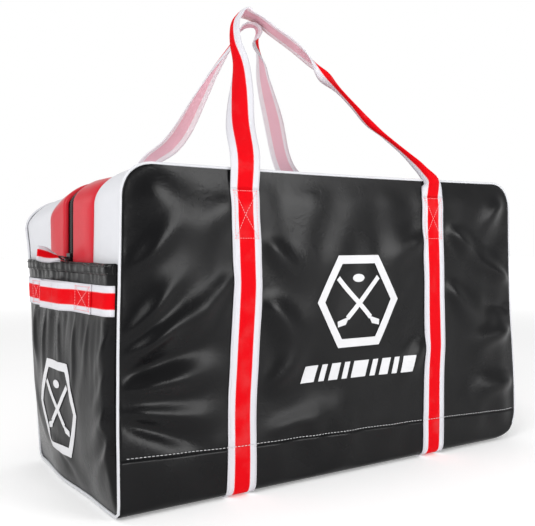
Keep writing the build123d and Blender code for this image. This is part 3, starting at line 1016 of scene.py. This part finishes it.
# %% [markdown]
# ## Body straps
# A strap runs from the top of the front, under the bag and up the back, and carries the load. It lies on the
# vinyl, so it is laid on the wrap a strap's thickness up, and evened out a little because webbing is stiffer.

# %% Body straps
STRAP_TOP = 0.456         # the strap is sewn down up to here; above it is the handle
WEB_THICK = 0.0017
WEB_LIFT = 0.0023
web_columns = np.linspace(-1, 1, 13)


def evened(points, passes):
    """Average each row of points with its neighbours along the strap."""
    points = points.copy()
    for _ in range(passes):
        points[1:-1] = 0.25 * points[:-2] + 0.5 * points[1:-1] + 0.25 * points[2:]
    return points


SWAY_Z = [0.0, 0.07, 0.19, 0.31, 0.38, 0.42]
SWAY = {-1: [-0.0185, -0.0175, -0.0080, -0.0015, -0.0040, -0.0070],
        1: [-0.0175, -0.0165, -0.0030, -0.0060, -0.0085, -0.0095]}
top_s = front_s(STRAP_TOP)
strap_s = np.linspace(top_s, path_s[-1] - top_s, 300)
strap_grids = {}
for side, side_name in SIDES:
    across = web_columns * STRAP_WIDE / 2
    height = np.interp(strap_s, path_s, path_z)
    centre = side * STRAP_X + np.interp(height, SWAY_Z, SWAY[side])
    x = centre[:, None] + across[None, :]
    s = np.repeat(strap_s[:, None], len(across), 1)
    points = evened(on_wrap(x, s, WEB_LIFT), 2)
    points[..., 2] = np.maximum(points[..., 2], 0.0004)
    strap_grids[side] = points
    uv = np.stack([np.broadcast_to(across[None, :], s.shape), s], -1)
    strap = grid_piece("strap_" + side_name, points, uv, bag_middle)
    thicken(strap, WEB_THICK, subdivide=0)
    finish_piece(strap, strap_webbing)
    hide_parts(side_name + "_body_strap")
    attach(strap, "bag")
print("straps made, lowest point", round(min(g[..., 2].min() for g in strap_grids.values()), 4))

# %% [markdown]
# ## Carry handles
# Above the stitching the same webbing leaves the bag as a handle. Pulled up to one point it twists on its
# way, so each handle is a ribbon with a width direction that turns along it, and it rolls up where it turns
# tightly. Its foot is sewn down while the rest swings: its end rows are drawn onto the strap.

# %% Handle ribbons
reverse_webbing = webbing("webbing_reverse", STRAP_WIDE / 2, STRAP_WIDE * RED_PART, red=(0.84, 0.54, 0.62, 1),
                          white=(0.86, 0.84, 0.88, 1))
END_ROWS = 14             # rows over which a handle's foot is drawn onto its strap


def spline(values, count):
    """A smooth curve through rows of values, even in the rows' own distance."""
    values = np.array(values, float)
    knots = run_length(values[:, :3])
    slopes = np.gradient(values, knots, axis=0)
    want = np.linspace(0, knots[-1], count)
    k = np.clip(np.searchsorted(knots, want, side="right") - 1, 0, len(knots) - 2)
    span = (knots[k + 1] - knots[k])[:, None]
    t = (want - knots[k])[:, None] / span
    h00, h10 = 2 * t ** 3 - 3 * t ** 2 + 1, t ** 3 - 2 * t ** 2 + t
    h01, h11 = -2 * t ** 3 + 3 * t ** 2, t ** 3 - t ** 2
    return h00 * values[k] + h10 * span * slopes[k] + h01 * values[k + 1] + h11 * span * slopes[k + 1]


def web_ribbon(name, route, start_row, end_row, count=190):
    """A handle along a route, with its first and last rows drawn onto the straps' own rows.

    Route rows: x, y, z, turn of the width in degrees, how far it rolls up in degrees, and its pinch (1 is flat).
    """
    path = spline(route, count)
    centre, turn = path[:, :3], np.radians(path[:, 3])
    roll, pinch = np.clip(path[:, 4], 0.5, 290), np.clip(path[:, 5], 0.3, 1)[:, None]
    tangent = unit(np.gradient(centre, axis=0))
    wide = np.stack([np.cos(turn), np.sin(turn), 0 * turn], -1)
    wide = unit(wide - tangent * (wide * tangent).sum(1, keepdims=True))
    face = np.cross(wide, tangent)
    half_roll = np.radians(roll)[:, None] / 2
    across = web_columns * STRAP_WIDE / 2
    bend = web_columns[None, :] * half_roll
    span = np.sin(bend) / half_roll * STRAP_WIDE / 2 * pinch
    sag = (1 - np.cos(bend)) / half_roll * STRAP_WIDE / 2 * (1.5 - 0.5 * pinch)
    sag = sag - sag.mean(1, keepdims=True)
    points = centre[:, None] + wide[:, None] * span[..., None] - face[:, None] * sag[..., None]
    for rows, fixed in ((np.arange(END_ROWS), start_row), (count - 1 - np.arange(END_ROWS), end_row)):
        keep = (1 - smooth_step(np.arange(END_ROWS), 0, END_ROWS - 1))[:, None, None]
        points[rows] += (fixed - points[rows[0]])[None] * keep
    along = run_length(centre)
    uv = np.stack(np.broadcast_arrays(across[None, :], along[:, None]), -1)
    ribbon = grid_piece(name, points, uv)
    thicken(ribbon, WEB_THICK, subdivide=0)
    wall = ribbon.modifiers["wall"]
    finish_piece(ribbon, strap_webbing)
    ribbon.data.materials.append(reverse_webbing)
    wall.material_offset = 1
    return ribbon, along[-1]

# %% [markdown]
# A route was fitted to what shows of each handle: it climbs from one strap to the apex and comes down to the
# other. Pinching and rolling the web makes the thin, curled stretch on the front handle's right leg.

# %% Handle routes
front_route = [
    (-0.207, -0.186, 0.456, 0, 0, 1.0),
    (-0.206, -0.187, 0.490, -3, 6, 1.0),
    (-0.185, -0.139, 0.565, -32, 90, 1.0),
    (-0.168, -0.110, 0.617, -58, 110, 1.0),
    (-0.150, -0.077, 0.669, -86, 125, 0.9),
    (-0.143, -0.052, 0.711, -108, 125, 0.8),
    (-0.120, -0.024, 0.757, -117, 90, 0.8),
    (-0.096, -0.012, 0.775, -116, 30, 1.0),
    (-0.074, -0.013, 0.772, -112, 15, 1.0),
    (-0.042, -0.026, 0.749, -108, 10, 1.0),
    (-0.005, -0.046, 0.719, -108, 10, 1.0),
    (0.018, -0.062, 0.694, -124, 60, 1.0),
    (0.046, -0.085, 0.655, -202, 250, 0.32),
    (0.072, -0.107, 0.618, -214, 262, 0.34),
    (0.095, -0.128, 0.583, -213, 265, 0.58),
    (0.120, -0.142, 0.560, -212, 270, 0.36),
    (0.157, -0.169, 0.521, -207, 262, 0.42),
    (0.172, -0.184, 0.500, -196, 235, 0.62),
    (0.186, -0.192, 0.483, -184, 150, 1.0),
    (0.190, -0.189, 0.469, -180, 50, 1.0),
    (0.1905, -0.187, 0.456, -180, 0, 1.0),
]
back_route = [
    (-0.207, 0.186, 0.456, 180, 0, 1.0),
    (-0.200, 0.186, 0.490, 195, 4, 1.0),
    (-0.192, 0.166, 0.523, 200, 30, 1.0),
    (-0.158, 0.144, 0.556, 190, 50, 1.0),
    (-0.124, 0.091, 0.645, 212, 60, 1.0),
    (-0.112, 0.072, 0.680, 224, 60, 0.9),
    (-0.088, 0.036, 0.734, 248, 40, 1.0),
    (-0.076, 0.014, 0.761, 238, 10, 1.0),
    (-0.056, 0.014, 0.761, 226, 10, 1.0),
    (-0.034, 0.034, 0.738, 226, 10, 1.0),
    (-0.014, 0.050, 0.712, 246, 10, 1.0),
    (0.001, 0.065, 0.689, 256, 20, 1.0),
    (0.048, 0.103, 0.625, 278, 30, 1.0),
    (0.118, 0.158, 0.532, 292, 30, 1.0),
    (0.176, 0.188, 0.490, 345, 10, 1.0),
    (0.1905, 0.186, 0.456, 360, 0, 1.0),
]

# %% Make the handles
for half, half_name, route in ((-1, "front", front_route), (1, "back", back_route)):
    row = 0 if half < 0 else -1
    left_row, right_row = strap_grids[-1][row], strap_grids[1][row]
    if half < 0:
        start_row, end_row = left_row, right_row[::-1]
    else:
        start_row, end_row = left_row[::-1], right_row
    handle, length = web_ribbon("handle_" + half_name, route, start_row, end_row)
    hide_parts(half_name + "_carry_handle")
    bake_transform(handle)
    print(handle.name, "webbing length", round(length, 3), "m")

# %% [markdown]
# ## End panels and pockets
# Each end has a wide pocket with a webbing band across its mouth. The vinyl is gathered into the band, so it
# stands in upright folds that fade out on the way down, and a doubled hem closes its top edge.

# %% End panels
pocket_high = corners("right_pocket")[1]
hem_low = corners("right_pocket_hem")[0]
POCKET_HALF = SIDE_Y - 0.0035


def end_grid(y_values, z_values, out, side):
    """Slumped points of a sheet at one end, standing out metres beyond the end panel."""
    y, z = np.meshgrid(y_values, z_values)
    return slump(np.stack([side * (END_X + out), y, z], -1))


for side, side_name in SIDES:
    y_values = np.linspace(-POCKET_HALF, POCKET_HALF, 25)
    z_values = np.linspace(0.006, 0.335, 25)
    points = end_grid(y_values, z_values, np.full((25, 25), -0.0010), side)
    uv = np.stack(np.meshgrid(y_values, z_values), -1)
    panel = grid_piece("end_panel_" + side_name, points, uv, bag_middle)
    thicken(panel, SHEET_THICK, subdivide=0)
    finish_piece(panel, black_vinyl)
    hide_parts(side_name + "_end_panel")
    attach(panel, "bag")

# %% Pocket shape
BAND_FOOT, BAND_TOP = band_low[2], band_high[2]
POCKET_FOLDS = [
    ((-0.172, 0.250), (-0.130, 0.165), 0.009, 0.0026),
    ((-0.174, 0.195), (-0.125, 0.110), 0.011, 0.0028),
    ((-0.174, 0.135), (-0.110, 0.070), 0.011, 0.0028),
    ((-0.174, 0.085), (-0.105, 0.020), 0.010, 0.0030),
    ((-0.174, 0.115), (-0.140, 0.060), 0.007, -0.0022),
    ((0.150, 0.240), (0.100, 0.160), 0.012, 0.0025),
    ((0.150, 0.150), (0.060, 0.020), 0.012, 0.0030),
    ((0.060, 0.075), (-0.080, 0.015), 0.010, 0.0038),
    ((0.030, 0.055), (-0.060, 0.012), 0.008, -0.0030),
    ((-0.060, 0.268), (-0.045, 0.120), 0.006, 0.0042),
    ((0.010, 0.268), (0.000, 0.150), 0.006, 0.0036),
    ((0.070, 0.268), (0.080, 0.130), 0.007, 0.0042),
    ((-0.110, 0.268), (-0.090, 0.160), 0.006, 0.0036),
    ((0.125, 0.268), (0.115, 0.170), 0.006, 0.0034),
]

# %% Make the pockets


def pocket_out(y, z, seed, folds):
    """How far the pocket stands out from the end panel. Its far edge is more rounded than its near one."""
    far_side = smooth_step(y, 0.0, 0.10)
    edge = np.clip((POCKET_HALF - np.abs(y)) / (0.012 + 0.058 * far_side), 0, 1)
    rounding = np.sqrt(np.maximum(1 - (1 - edge) ** 2, 0))
    depth = np.interp(z, [0.006, 0.02, 0.06, 0.14, 0.22, BAND_FOOT, BAND_TOP, 0.346],
                      [0.0010, 0.0045, 0.0120, 0.0175, 0.0175, 0.0145, 0.0140, 0.0155])
    out = depth * rounding
    hold = smooth_step(edge, 0.15, 0.8)
    under = smooth_step(BAND_FOOT - z, -0.001, 0.012) * np.exp(-np.maximum(BAND_FOOT - z, 0) / 0.060)
    over = smooth_step(z, BAND_TOP - 0.001, BAND_TOP + 0.006)
    spots = np.stack([y, z * 0.10, np.zeros_like(y)], -1)
    out = out + hold * under * 0.0040 * waves(spots, 46.0, seed)
    out = out + hold * under * 0.0018 * waves(spots, 110.0, seed + 5)
    out = out + hold * over * 0.0030 * waves(spots * [1, 2, 1], 95.0, seed + 8)
    broad = np.stack([y, z, np.zeros_like(y)], -1)
    low = smooth_step(z, 0.0, 0.05) * smooth_step(BAND_FOOT - z, 0.0, 0.05)
    out = out + hold * low * 0.0030 * waves(broad, 13.0, seed + 2)
    pucker = np.exp(-((POCKET_HALF - np.abs(y)) / 0.018) ** 2) * smooth_step(edge, 0.1, 0.7) * low
    out = out + pucker * 0.0026 * waves(broad * [0.2, 1, 1], 48.0, seed + 6)
    for start, end, width, height in folds:
        out = out + fold(y, z, start, end, width, height) * hold * smooth_step(BAND_FOOT - z, 0.0, 0.006)
    return np.maximum(out, 0.0008)


pocket_y = np.linspace(-POCKET_HALF, POCKET_HALF, 89)
pocket_z = np.concatenate([np.linspace(0.006, BAND_FOOT - 0.004, 56), np.linspace(BAND_FOOT, pocket_high[2], 18)])
pocket_points = {}
for side, side_name in SIDES:
    y, z = np.meshgrid(pocket_y, pocket_z)
    out = pocket_out(y, z, 21.0 + side, POCKET_FOLDS if side < 0 else mirrored(POCKET_FOLDS))
    pocket_points[side] = end_grid(pocket_y, pocket_z, out, side)
    pocket = grid_piece("pocket_" + side_name, pocket_points[side], np.stack([y, z], -1), bag_middle)
    thicken(pocket, SHEET_THICK)
    finish_piece(pocket, black_vinyl)
    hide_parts(side_name + "_pocket")
    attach(pocket, "bag")
    print(pocket.name, "stands out", round((np.abs(pocket_points[side][..., 0]).max() - END_X) * 1000, 1), "mm")

# %% Place finder for the pockets


def on_pocket(side, y, z, lift):
    """Points lift metres off a pocket at width y and height z."""
    row = np.interp(z, pocket_z, np.arange(len(pocket_z)))
    column = np.interp(y, pocket_y, np.arange(len(pocket_y)))
    point = on_grid(pocket_points[side], row, column)[0]
    point[..., 0] += side * lift
    return point

# %% Pocket hem and webbing band
HEM_SHAPE = [(0.0008, 0.0), (0.0020, 0.0012), (0.0024, 0.0080), (0.0020, 0.0142), (0.0004, 0.0160),
             (-0.0014, 0.0166), (-0.0032, 0.0160), (-0.0040, 0.0140), (-0.0038, 0.0010)]
for side, side_name in SIDES:
    y_values = np.linspace(-POCKET_HALF + 0.002, POCKET_HALF - 0.002, 100)
    rows = [on_pocket(side, y_values, np.minimum(hem_low[2] + up, pocket_high[2] + 0 * y_values), off)
            for off, up in HEM_SHAPE]
    points = np.stack(rows)
    points[..., 2] = np.array([hem_low[2] + up for off, up in HEM_SHAPE])[:, None]
    points[..., 2] += 0.0008 * waves(np.stack([y_values, 0 * y_values, 0 * y_values], -1), 30.0, 4.0)[None]
    uv = np.stack(np.broadcast_arrays(y_values[None, :], np.array([up for off, up in HEM_SHAPE])[:, None]), -1)
    hem = grid_piece("pocket_hem_" + side_name, points, uv, (side * (END_X + 0.014), 0, hem_low[2] + 0.008))
    thicken(hem, 0.0010)
    finish_piece(hem, black_vinyl)
    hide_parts(side_name + "_pocket_hem")
    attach(hem, "bag")

    y_values = np.linspace(-POCKET_HALF + 0.001, POCKET_HALF - 0.001, 80)
    across = web_columns * BAND_WIDE / 2
    z_middle = (BAND_FOOT + BAND_TOP) / 2
    y, z = np.meshgrid(y_values, z_middle + across, indexing="ij")
    points = evened(on_pocket(side, y, z, 0.0026), 2)
    uv = np.stack([z - z_middle, y], -1)
    band = grid_piece("pocket_band_" + side_name, points, uv, bag_middle)
    thicken(band, WEB_THICK, subdivide=0)
    finish_piece(band, band_webbing)
    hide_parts(side_name + "_pocket_band")
    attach(band, "bag")
    print(hem.name, "and", band.name, "made")

# %% [markdown]
# ## End grab handles
# A second length of webbing is box-stitched over the band at both its ends and left free between, so a hand
# can slip behind it. It is made in two halves, each bent by a blend from its sewn end to the free middle.

# %% Grab handles
GRAB_END = 0.122
FREE_HALF = {-1: 0.060, 1: 0.080}
STAND_OFF = 0.0125
for side, side_name in SIDES:
    for half, half_name in ((-1, "near"), (1, "far")):
        y_values = half * np.linspace(0, GRAB_END, 42)
        y, z = np.meshgrid(y_values, z_middle + across, indexing="ij")
        lift = 0.0046 + STAND_OFF * (1 - smooth_step(np.abs(y), FREE_HALF[half] - 0.034, FREE_HALF[half] + 0.003))
        points = on_pocket(side, y, z, lift)
        uv = np.stack([z - z_middle, y], -1)
        grab = grid_piece(f"grab_handle_{side_name}_{half_name}", points, uv, bag_middle)
        thicken(grab, WEB_THICK, subdivide=0)
        finish_piece(grab, band_webbing)
        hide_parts(side_name + "_grab_handle", side_name + "_grab_handle_ends")
        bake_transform(grab)
        print(grab.name, "stands off", round(STAND_OFF * 1000, 1), "mm")

# %% [markdown]
# ## Zip pull
# A short piece of the striped webbing, folded in half through the slider's ring and stitched, makes a pull
# that a gloved hand can find.

# %% Pull tab
PIVOT = np.array([-0.412, 0.0, 0.348])    # the pull joint's origin in the frame
RISE = math.radians(14)
tab_low, tab_high = corners("pull_tab")
TAB_WIDE = tab_high[1] - tab_low[1]
tab_webbing = webbing("tab_webbing", TAB_WIDE / 2, TAB_WIDE * 0.24)
NEAR, FAR = 0.0140, 0.0480                # where the tab starts and ends, from the pivot
TAB_SHAPE = [(NEAR, 0.0008), (NEAR - 0.001, 0.0018), (NEAR + 0.003, 0.0020), (0.022, 0.0012), (0.030, 0.0014),
             (0.038, 0.0014), (FAR - 0.003, 0.0016), (FAR - 0.001, 0.0012), (FAR, 0.0), (FAR - 0.001, -0.0012),
             (FAR - 0.003, -0.0016), (0.038, -0.0014), (0.030, -0.0012), (0.022, -0.0012), (NEAR + 0.003, -0.0020),
             (NEAR - 0.001, -0.0018)]
out_way = np.array([-math.cos(RISE), 0, math.sin(RISE)])
up_way = np.array([math.sin(RISE), 0, math.cos(RISE)])
tab_columns = np.linspace(-1, 1, 9)
rows = []
for far, high in TAB_SHAPE + TAB_SHAPE[:1]:
    roll = math.radians(20 + 45 * float(smooth_step(far, NEAR, FAR - 0.012)))
    wide_way = np.array([0, math.cos(roll), 0]) + up_way * math.sin(roll)
    thick_way = up_way * math.cos(roll) - np.array([0, math.sin(roll), 0])
    tip = smooth_step(far, FAR - 0.006, FAR)
    half_wide = TAB_WIDE / 2 * (1 - 0.10 * float(tip) * np.abs(tab_columns) ** 2)
    centre = PIVOT + out_way * far + thick_way * high
    rows.append(centre[None] + (tab_columns * half_wide)[:, None] * wide_way[None])
points = np.stack(rows)
lengths = run_length(np.array(TAB_SHAPE + TAB_SHAPE[:1]))
uv = np.stack(np.broadcast_arrays((tab_columns * TAB_WIDE / 2)[None, :], lengths[:, None]), -1)
tab = grid_piece("pull_webbing", points, uv, tuple(PIVOT + out_way * 0.035))
thicken(tab, 0.0009, subdivide=1)
finish_piece(tab, tab_webbing)
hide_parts("pull_tab")
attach(tab, "pull")
print("pull tab", round((FAR - NEAR) * 1000), "mm long,", round(TAB_WIDE * 1000), "mm wide")

# %% [markdown]
# ## The printed badge
# The front and the pockets carry a screen-printed badge: a six-sided frame round two crossed sticks and a
# puck, with a row of slanted bars under the large one. Ink follows every fold, so each part of the badge is
# a fine grid laid just off the vinyl.

# %% Badge shapes, as flat grids


def quad_grid(a, b, c, d, along=10, across=3):
    """A grid of 2-D points between four corners a-b along one side and d-c along the other."""
    a, b, c, d = (np.array(p, float) for p in (a, b, c, d))
    t = np.linspace(0, 1, along + 1)[:, None, None]
    u = np.linspace(0, 1, across + 1)[None, :, None]
    return (a * (1 - t) + b * t) * (1 - u) + (d * (1 - t) + c * t) * u


def bar(start, end, wide, along=16):
    """A grid over a straight bar of a width."""
    start, end = np.array(start, float), np.array(end, float)
    way = unit(end - start)
    side = np.array([-way[1], way[0]]) * wide / 2
    return quad_grid(start + side, end + side, end - side, start - side, along)


def badge_grids(size):
    """The badge, size metres across its corners, centred on zero."""
    outer = size / 2
    inner = outer - size * 0.092
    grids = []
    for k in range(6):
        a, b = math.radians(60 * k), math.radians(60 + 60 * k)
        ring = [(r * math.cos(t), r * math.sin(t)) for r, t in ((outer, a), (outer, b), (inner, b), (inner, a))]
        grids.append(quad_grid(*ring, along=14))
    size = size * 0.92
    for hand in (-1, 1):
        flip = np.array([hand, 1.0])
        grids.append(bar((-0.27 * size, 0.24 * size), (0.150 * size, -0.175 * size), 0.052 * size) * flip)
        blade = quad_grid((0.128 * size, -0.160 * size), (0.275 * size, -0.205 * size),
                          (0.270 * size, -0.262 * size), (0.172 * size, -0.240 * size), 10)
        grids.append(blade * flip)
    turn = np.linspace(0, math.tau, 25)
    spoke = np.linspace(0.0002, 1, 4)
    disc = np.stack([spoke[None, :] * np.cos(turn)[:, None] * 0.075,
                     spoke[None, :] * np.sin(turn)[:, None] * 0.042 + 0.235], -1) * size
    grids.append(disc)
    return grids

# %% Row of bars


def bar_row(left, right, middle, tall):
    """Slanted bars of uneven width between two edges."""
    widths = [3.0, 1.2, 2.0, 1.2, 3.4, 1.2, 2.0, 1.2, 3.0]
    gap = 1.0
    low, high, lean = middle - tall / 2, middle + tall / 2, 0.35 * tall
    step = (right - left - lean) / (sum(widths) + gap * (len(widths) - 1))
    grids = []
    x = left
    for wide in widths:
        end = x + wide * step
        grids.append(quad_grid((x, low), (end, low), (end + lean, high), (x + lean, high), 6, 6))
        x = end + gap * step
    return grids

# %% Printing


def printed(name, grids, place, outward):
    """Join flat grids into one sheet of ink. place turns 2-D points and a lift into 3-D points."""
    verts, faces, uv = [], [], []
    for number, grid in enumerate(grids):
        rows, cols = grid.shape[:2]
        base = len(verts)
        spots = place(grid[..., 0], grid[..., 1], 0.0010 + 0.0001 * (number % 3)).reshape(-1, 3)
        verts += spots.tolist()
        uv += grid.reshape(-1, 2).tolist()
        for i in range(rows - 1):
            for j in range(cols - 1):
                a = base + i * cols + j
                face = [a, a + 1, a + cols + 1, a + cols]
                p = [np.array(verts[k]) for k in face]
                if np.dot(np.cross(p[1] - p[0], p[3] - p[0]), outward) < 0:
                    face.reverse()
                faces.append(face)
    mesh = bpy.data.meshes.new(name)
    mesh.from_pydata(verts, [], faces)
    layer = mesh.uv_layers.new(name="UVMap")
    for loop in mesh.loops:
        layer.data[loop.index].uv = uv[loop.vertex_index]
    piece = add_object(name, mesh)
    thicken(piece, 0.0004, subdivide=0)
    finish_piece(piece, print_white)
    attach(piece, "bag")

# %% Badges in place
BADGE_X, BADGE_Z, BADGE_SIZE = 0.017, 0.279, 0.174
front_badge = [grid + [BADGE_X, BADGE_Z] for grid in badge_grids(BADGE_SIZE)]
front_badge += bar_row(-0.104, 0.143, 0.167, 0.026)
printed("badge_front", front_badge, lambda x, z, lift: on_wrap(x, front_s(z), lift), (0, -1, 0))
for side, side_name in SIDES:
    small = [grid + [0.012, 0.122] for grid in badge_grids(0.163)]
    printed("badge_" + side_name, small, lambda y, z, lift, side=side: on_pocket(side, y, z, lift), (side, 0, 0))
print("badges printed")

# %% [markdown]
# ## Stitching
# Rows of thread show how the bag is put together: along the bottom seam, round the boxes that hold each
# strap and handle, along the strap edges and twice round the pocket hem.

# %% Stitch lines


def wrap_line(x, s, lift):
    """A line on the wrap and the way it faces."""
    line = on_wrap(x, s, lift)
    return line, unit(on_wrap(x, s, lift + 0.001) - line)


def box_and_cross(left, right, low, high, steps=14):
    """Corner to corner lines of a box with a cross in it, as 2-D points."""
    t = np.linspace(0, 1, steps)
    ends = [((left, low), (right, low)), ((right, low), (right, high)), ((right, high), (left, high)),
            ((left, high), (left, low)), ((left, low), (right, high)), ((left, high), (right, low))]
    return [(a[0] + (b[0] - a[0]) * t, a[1] + (b[1] - a[1]) * t) for a, b in ends]


def sew(name, lines, shape, pitch, thread):
    """Stitches along lines, fixed to the bag."""
    piece = repeat_on(name, lines, shape, pitch, thread)
    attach(piece, "bag")
    print(piece.name, len(piece.data.polygons), "faces")


def pocket_line(side, y, z, lift):
    """A line on a pocket and the way it faces."""
    line = on_pocket(side, y, z, lift)
    return line, np.tile([side, 0, 0], (len(line), 1))

# %% Bottom seam stitches
end_s = path_s[-1]
seam_x = np.linspace(-END_X + 0.012, END_X - 0.012, 260)
near_web = np.minimum(np.abs(seam_x - STRAP_X - SWAY[1][1]), np.abs(seam_x + STRAP_X - SWAY[-1][1]))
seam_lift = 0.0006 + 0.0026 * (1 - smooth_step(near_web, STRAP_WIDE / 2, STRAP_WIDE / 2 + 0.004))
seam_s = front_s(STITCH_Z + 0.0025)
sew("seam_stitches", [wrap_line(seam_x, np.full_like(seam_x, seam_s), seam_lift),
                      wrap_line(seam_x, np.full_like(seam_x, end_s - seam_s), seam_lift)],
    stitch_shape, 0.0062, grey_thread)

# %% Strap stitches
BOX_LOW, BOX_HIGH, BOX_HALF = 0.382, 0.453, 0.0200
box_lines = []
edge_lines = []
for side in (-1, 1):
    for a, b in box_and_cross(-BOX_HALF, BOX_HALF, BOX_LOW, BOX_HIGH):
        x = side * STRAP_X + a + np.interp(b, SWAY_Z, SWAY[side])
        box_lines.append(wrap_line(x, front_s(b), 0.0026))
        box_lines.append(wrap_line(x, end_s - front_s(b), 0.0026))
    for edge in (-1, 1):
        run = np.linspace(front_s(BOX_LOW - 0.006), end_s - front_s(BOX_LOW - 0.006), 120)
        sway = np.interp(np.interp(run, path_s, path_z), SWAY_Z, SWAY[side])
        x = side * STRAP_X + sway + edge * (STRAP_WIDE / 2 - 0.0028)
        edge_lines.append(wrap_line(x, run, 0.0025))
sew("strap_box_stitches", box_lines, fine_stitch, 0.0040, pink_thread)
sew("strap_edge_stitches", edge_lines, fine_stitch, 0.0044, white_vinyl)

# %% Grab handle and hem stitches
hem_y = np.linspace(-POCKET_HALF + 0.006, POCKET_HALF - 0.006, 90)
for side, side_name in SIDES:
    lines = []
    for half in (-1, 1):
        for a, b in box_and_cross(FREE_HALF[half] + 0.006, 0.118, BAND_FOOT + 0.004, BAND_TOP - 0.004):
            lines.append(pocket_line(side, half * a, b, 0.0049))
    sew("grab_stitches_" + side_name, lines, fine_stitch, 0.0040, pink_thread)
    lines = []
    for up in (0.0030, 0.0125):
        lines.append(pocket_line(side, hem_y, np.full_like(hem_y, hem_low[2] + up), 0.0024))
    sew("hem_stitches_" + side_name, lines, fine_stitch, 0.0042, black_thread)

# %% [markdown]
# ## The loose board and the metal parts
# A stiff sheet lies loose on the bottom, inside. It follows the settled floor of the bag, so it is a grid put
# through the same slump. The slider, its link and the stops are right as they are and only need a finish.

# %% Bottom board
board_sheet = plain_fabric("board_sheet", (0.030, 0.030, 0.032, 1), (0.050, 0.050, 0.052, 1), 60, 0.5, 0.0002)
board_low, board_high = corners("bottom_board")
board_x, board_y = np.meshgrid(np.linspace(board_low[0] + 0.014, board_high[0] - 0.014, 60),
                               np.linspace(board_low[1] + 0.010, board_high[1] - 0.010, 26), indexing="ij")
board_points = slump(np.stack([board_x, board_y, np.full_like(board_x, BASE_LIFT + 0.0022)], -1))
board = grid_piece("bottom_sheet", board_points, np.stack([board_x, board_y], -1), (0, 0, 1))
thicken(board, 0.0025, subdivide=0)
finish_piece(board, board_sheet)
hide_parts("bottom_board")
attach(board, "bag")
print("board size", np.round(board_high - board_low, 3).tolist())

# %% CAD parts that stay, with better materials
for node, material in (("zip_slider", dark_metal), ("pull_link", dark_metal), ("zip_stops", zip_plastic)):
    shown = bpy.data.objects[node]
    if shown.material_slots:
        shown.material_slots[0].link = "OBJECT"
        shown.material_slots[0].material = material
        print(node, "painted")
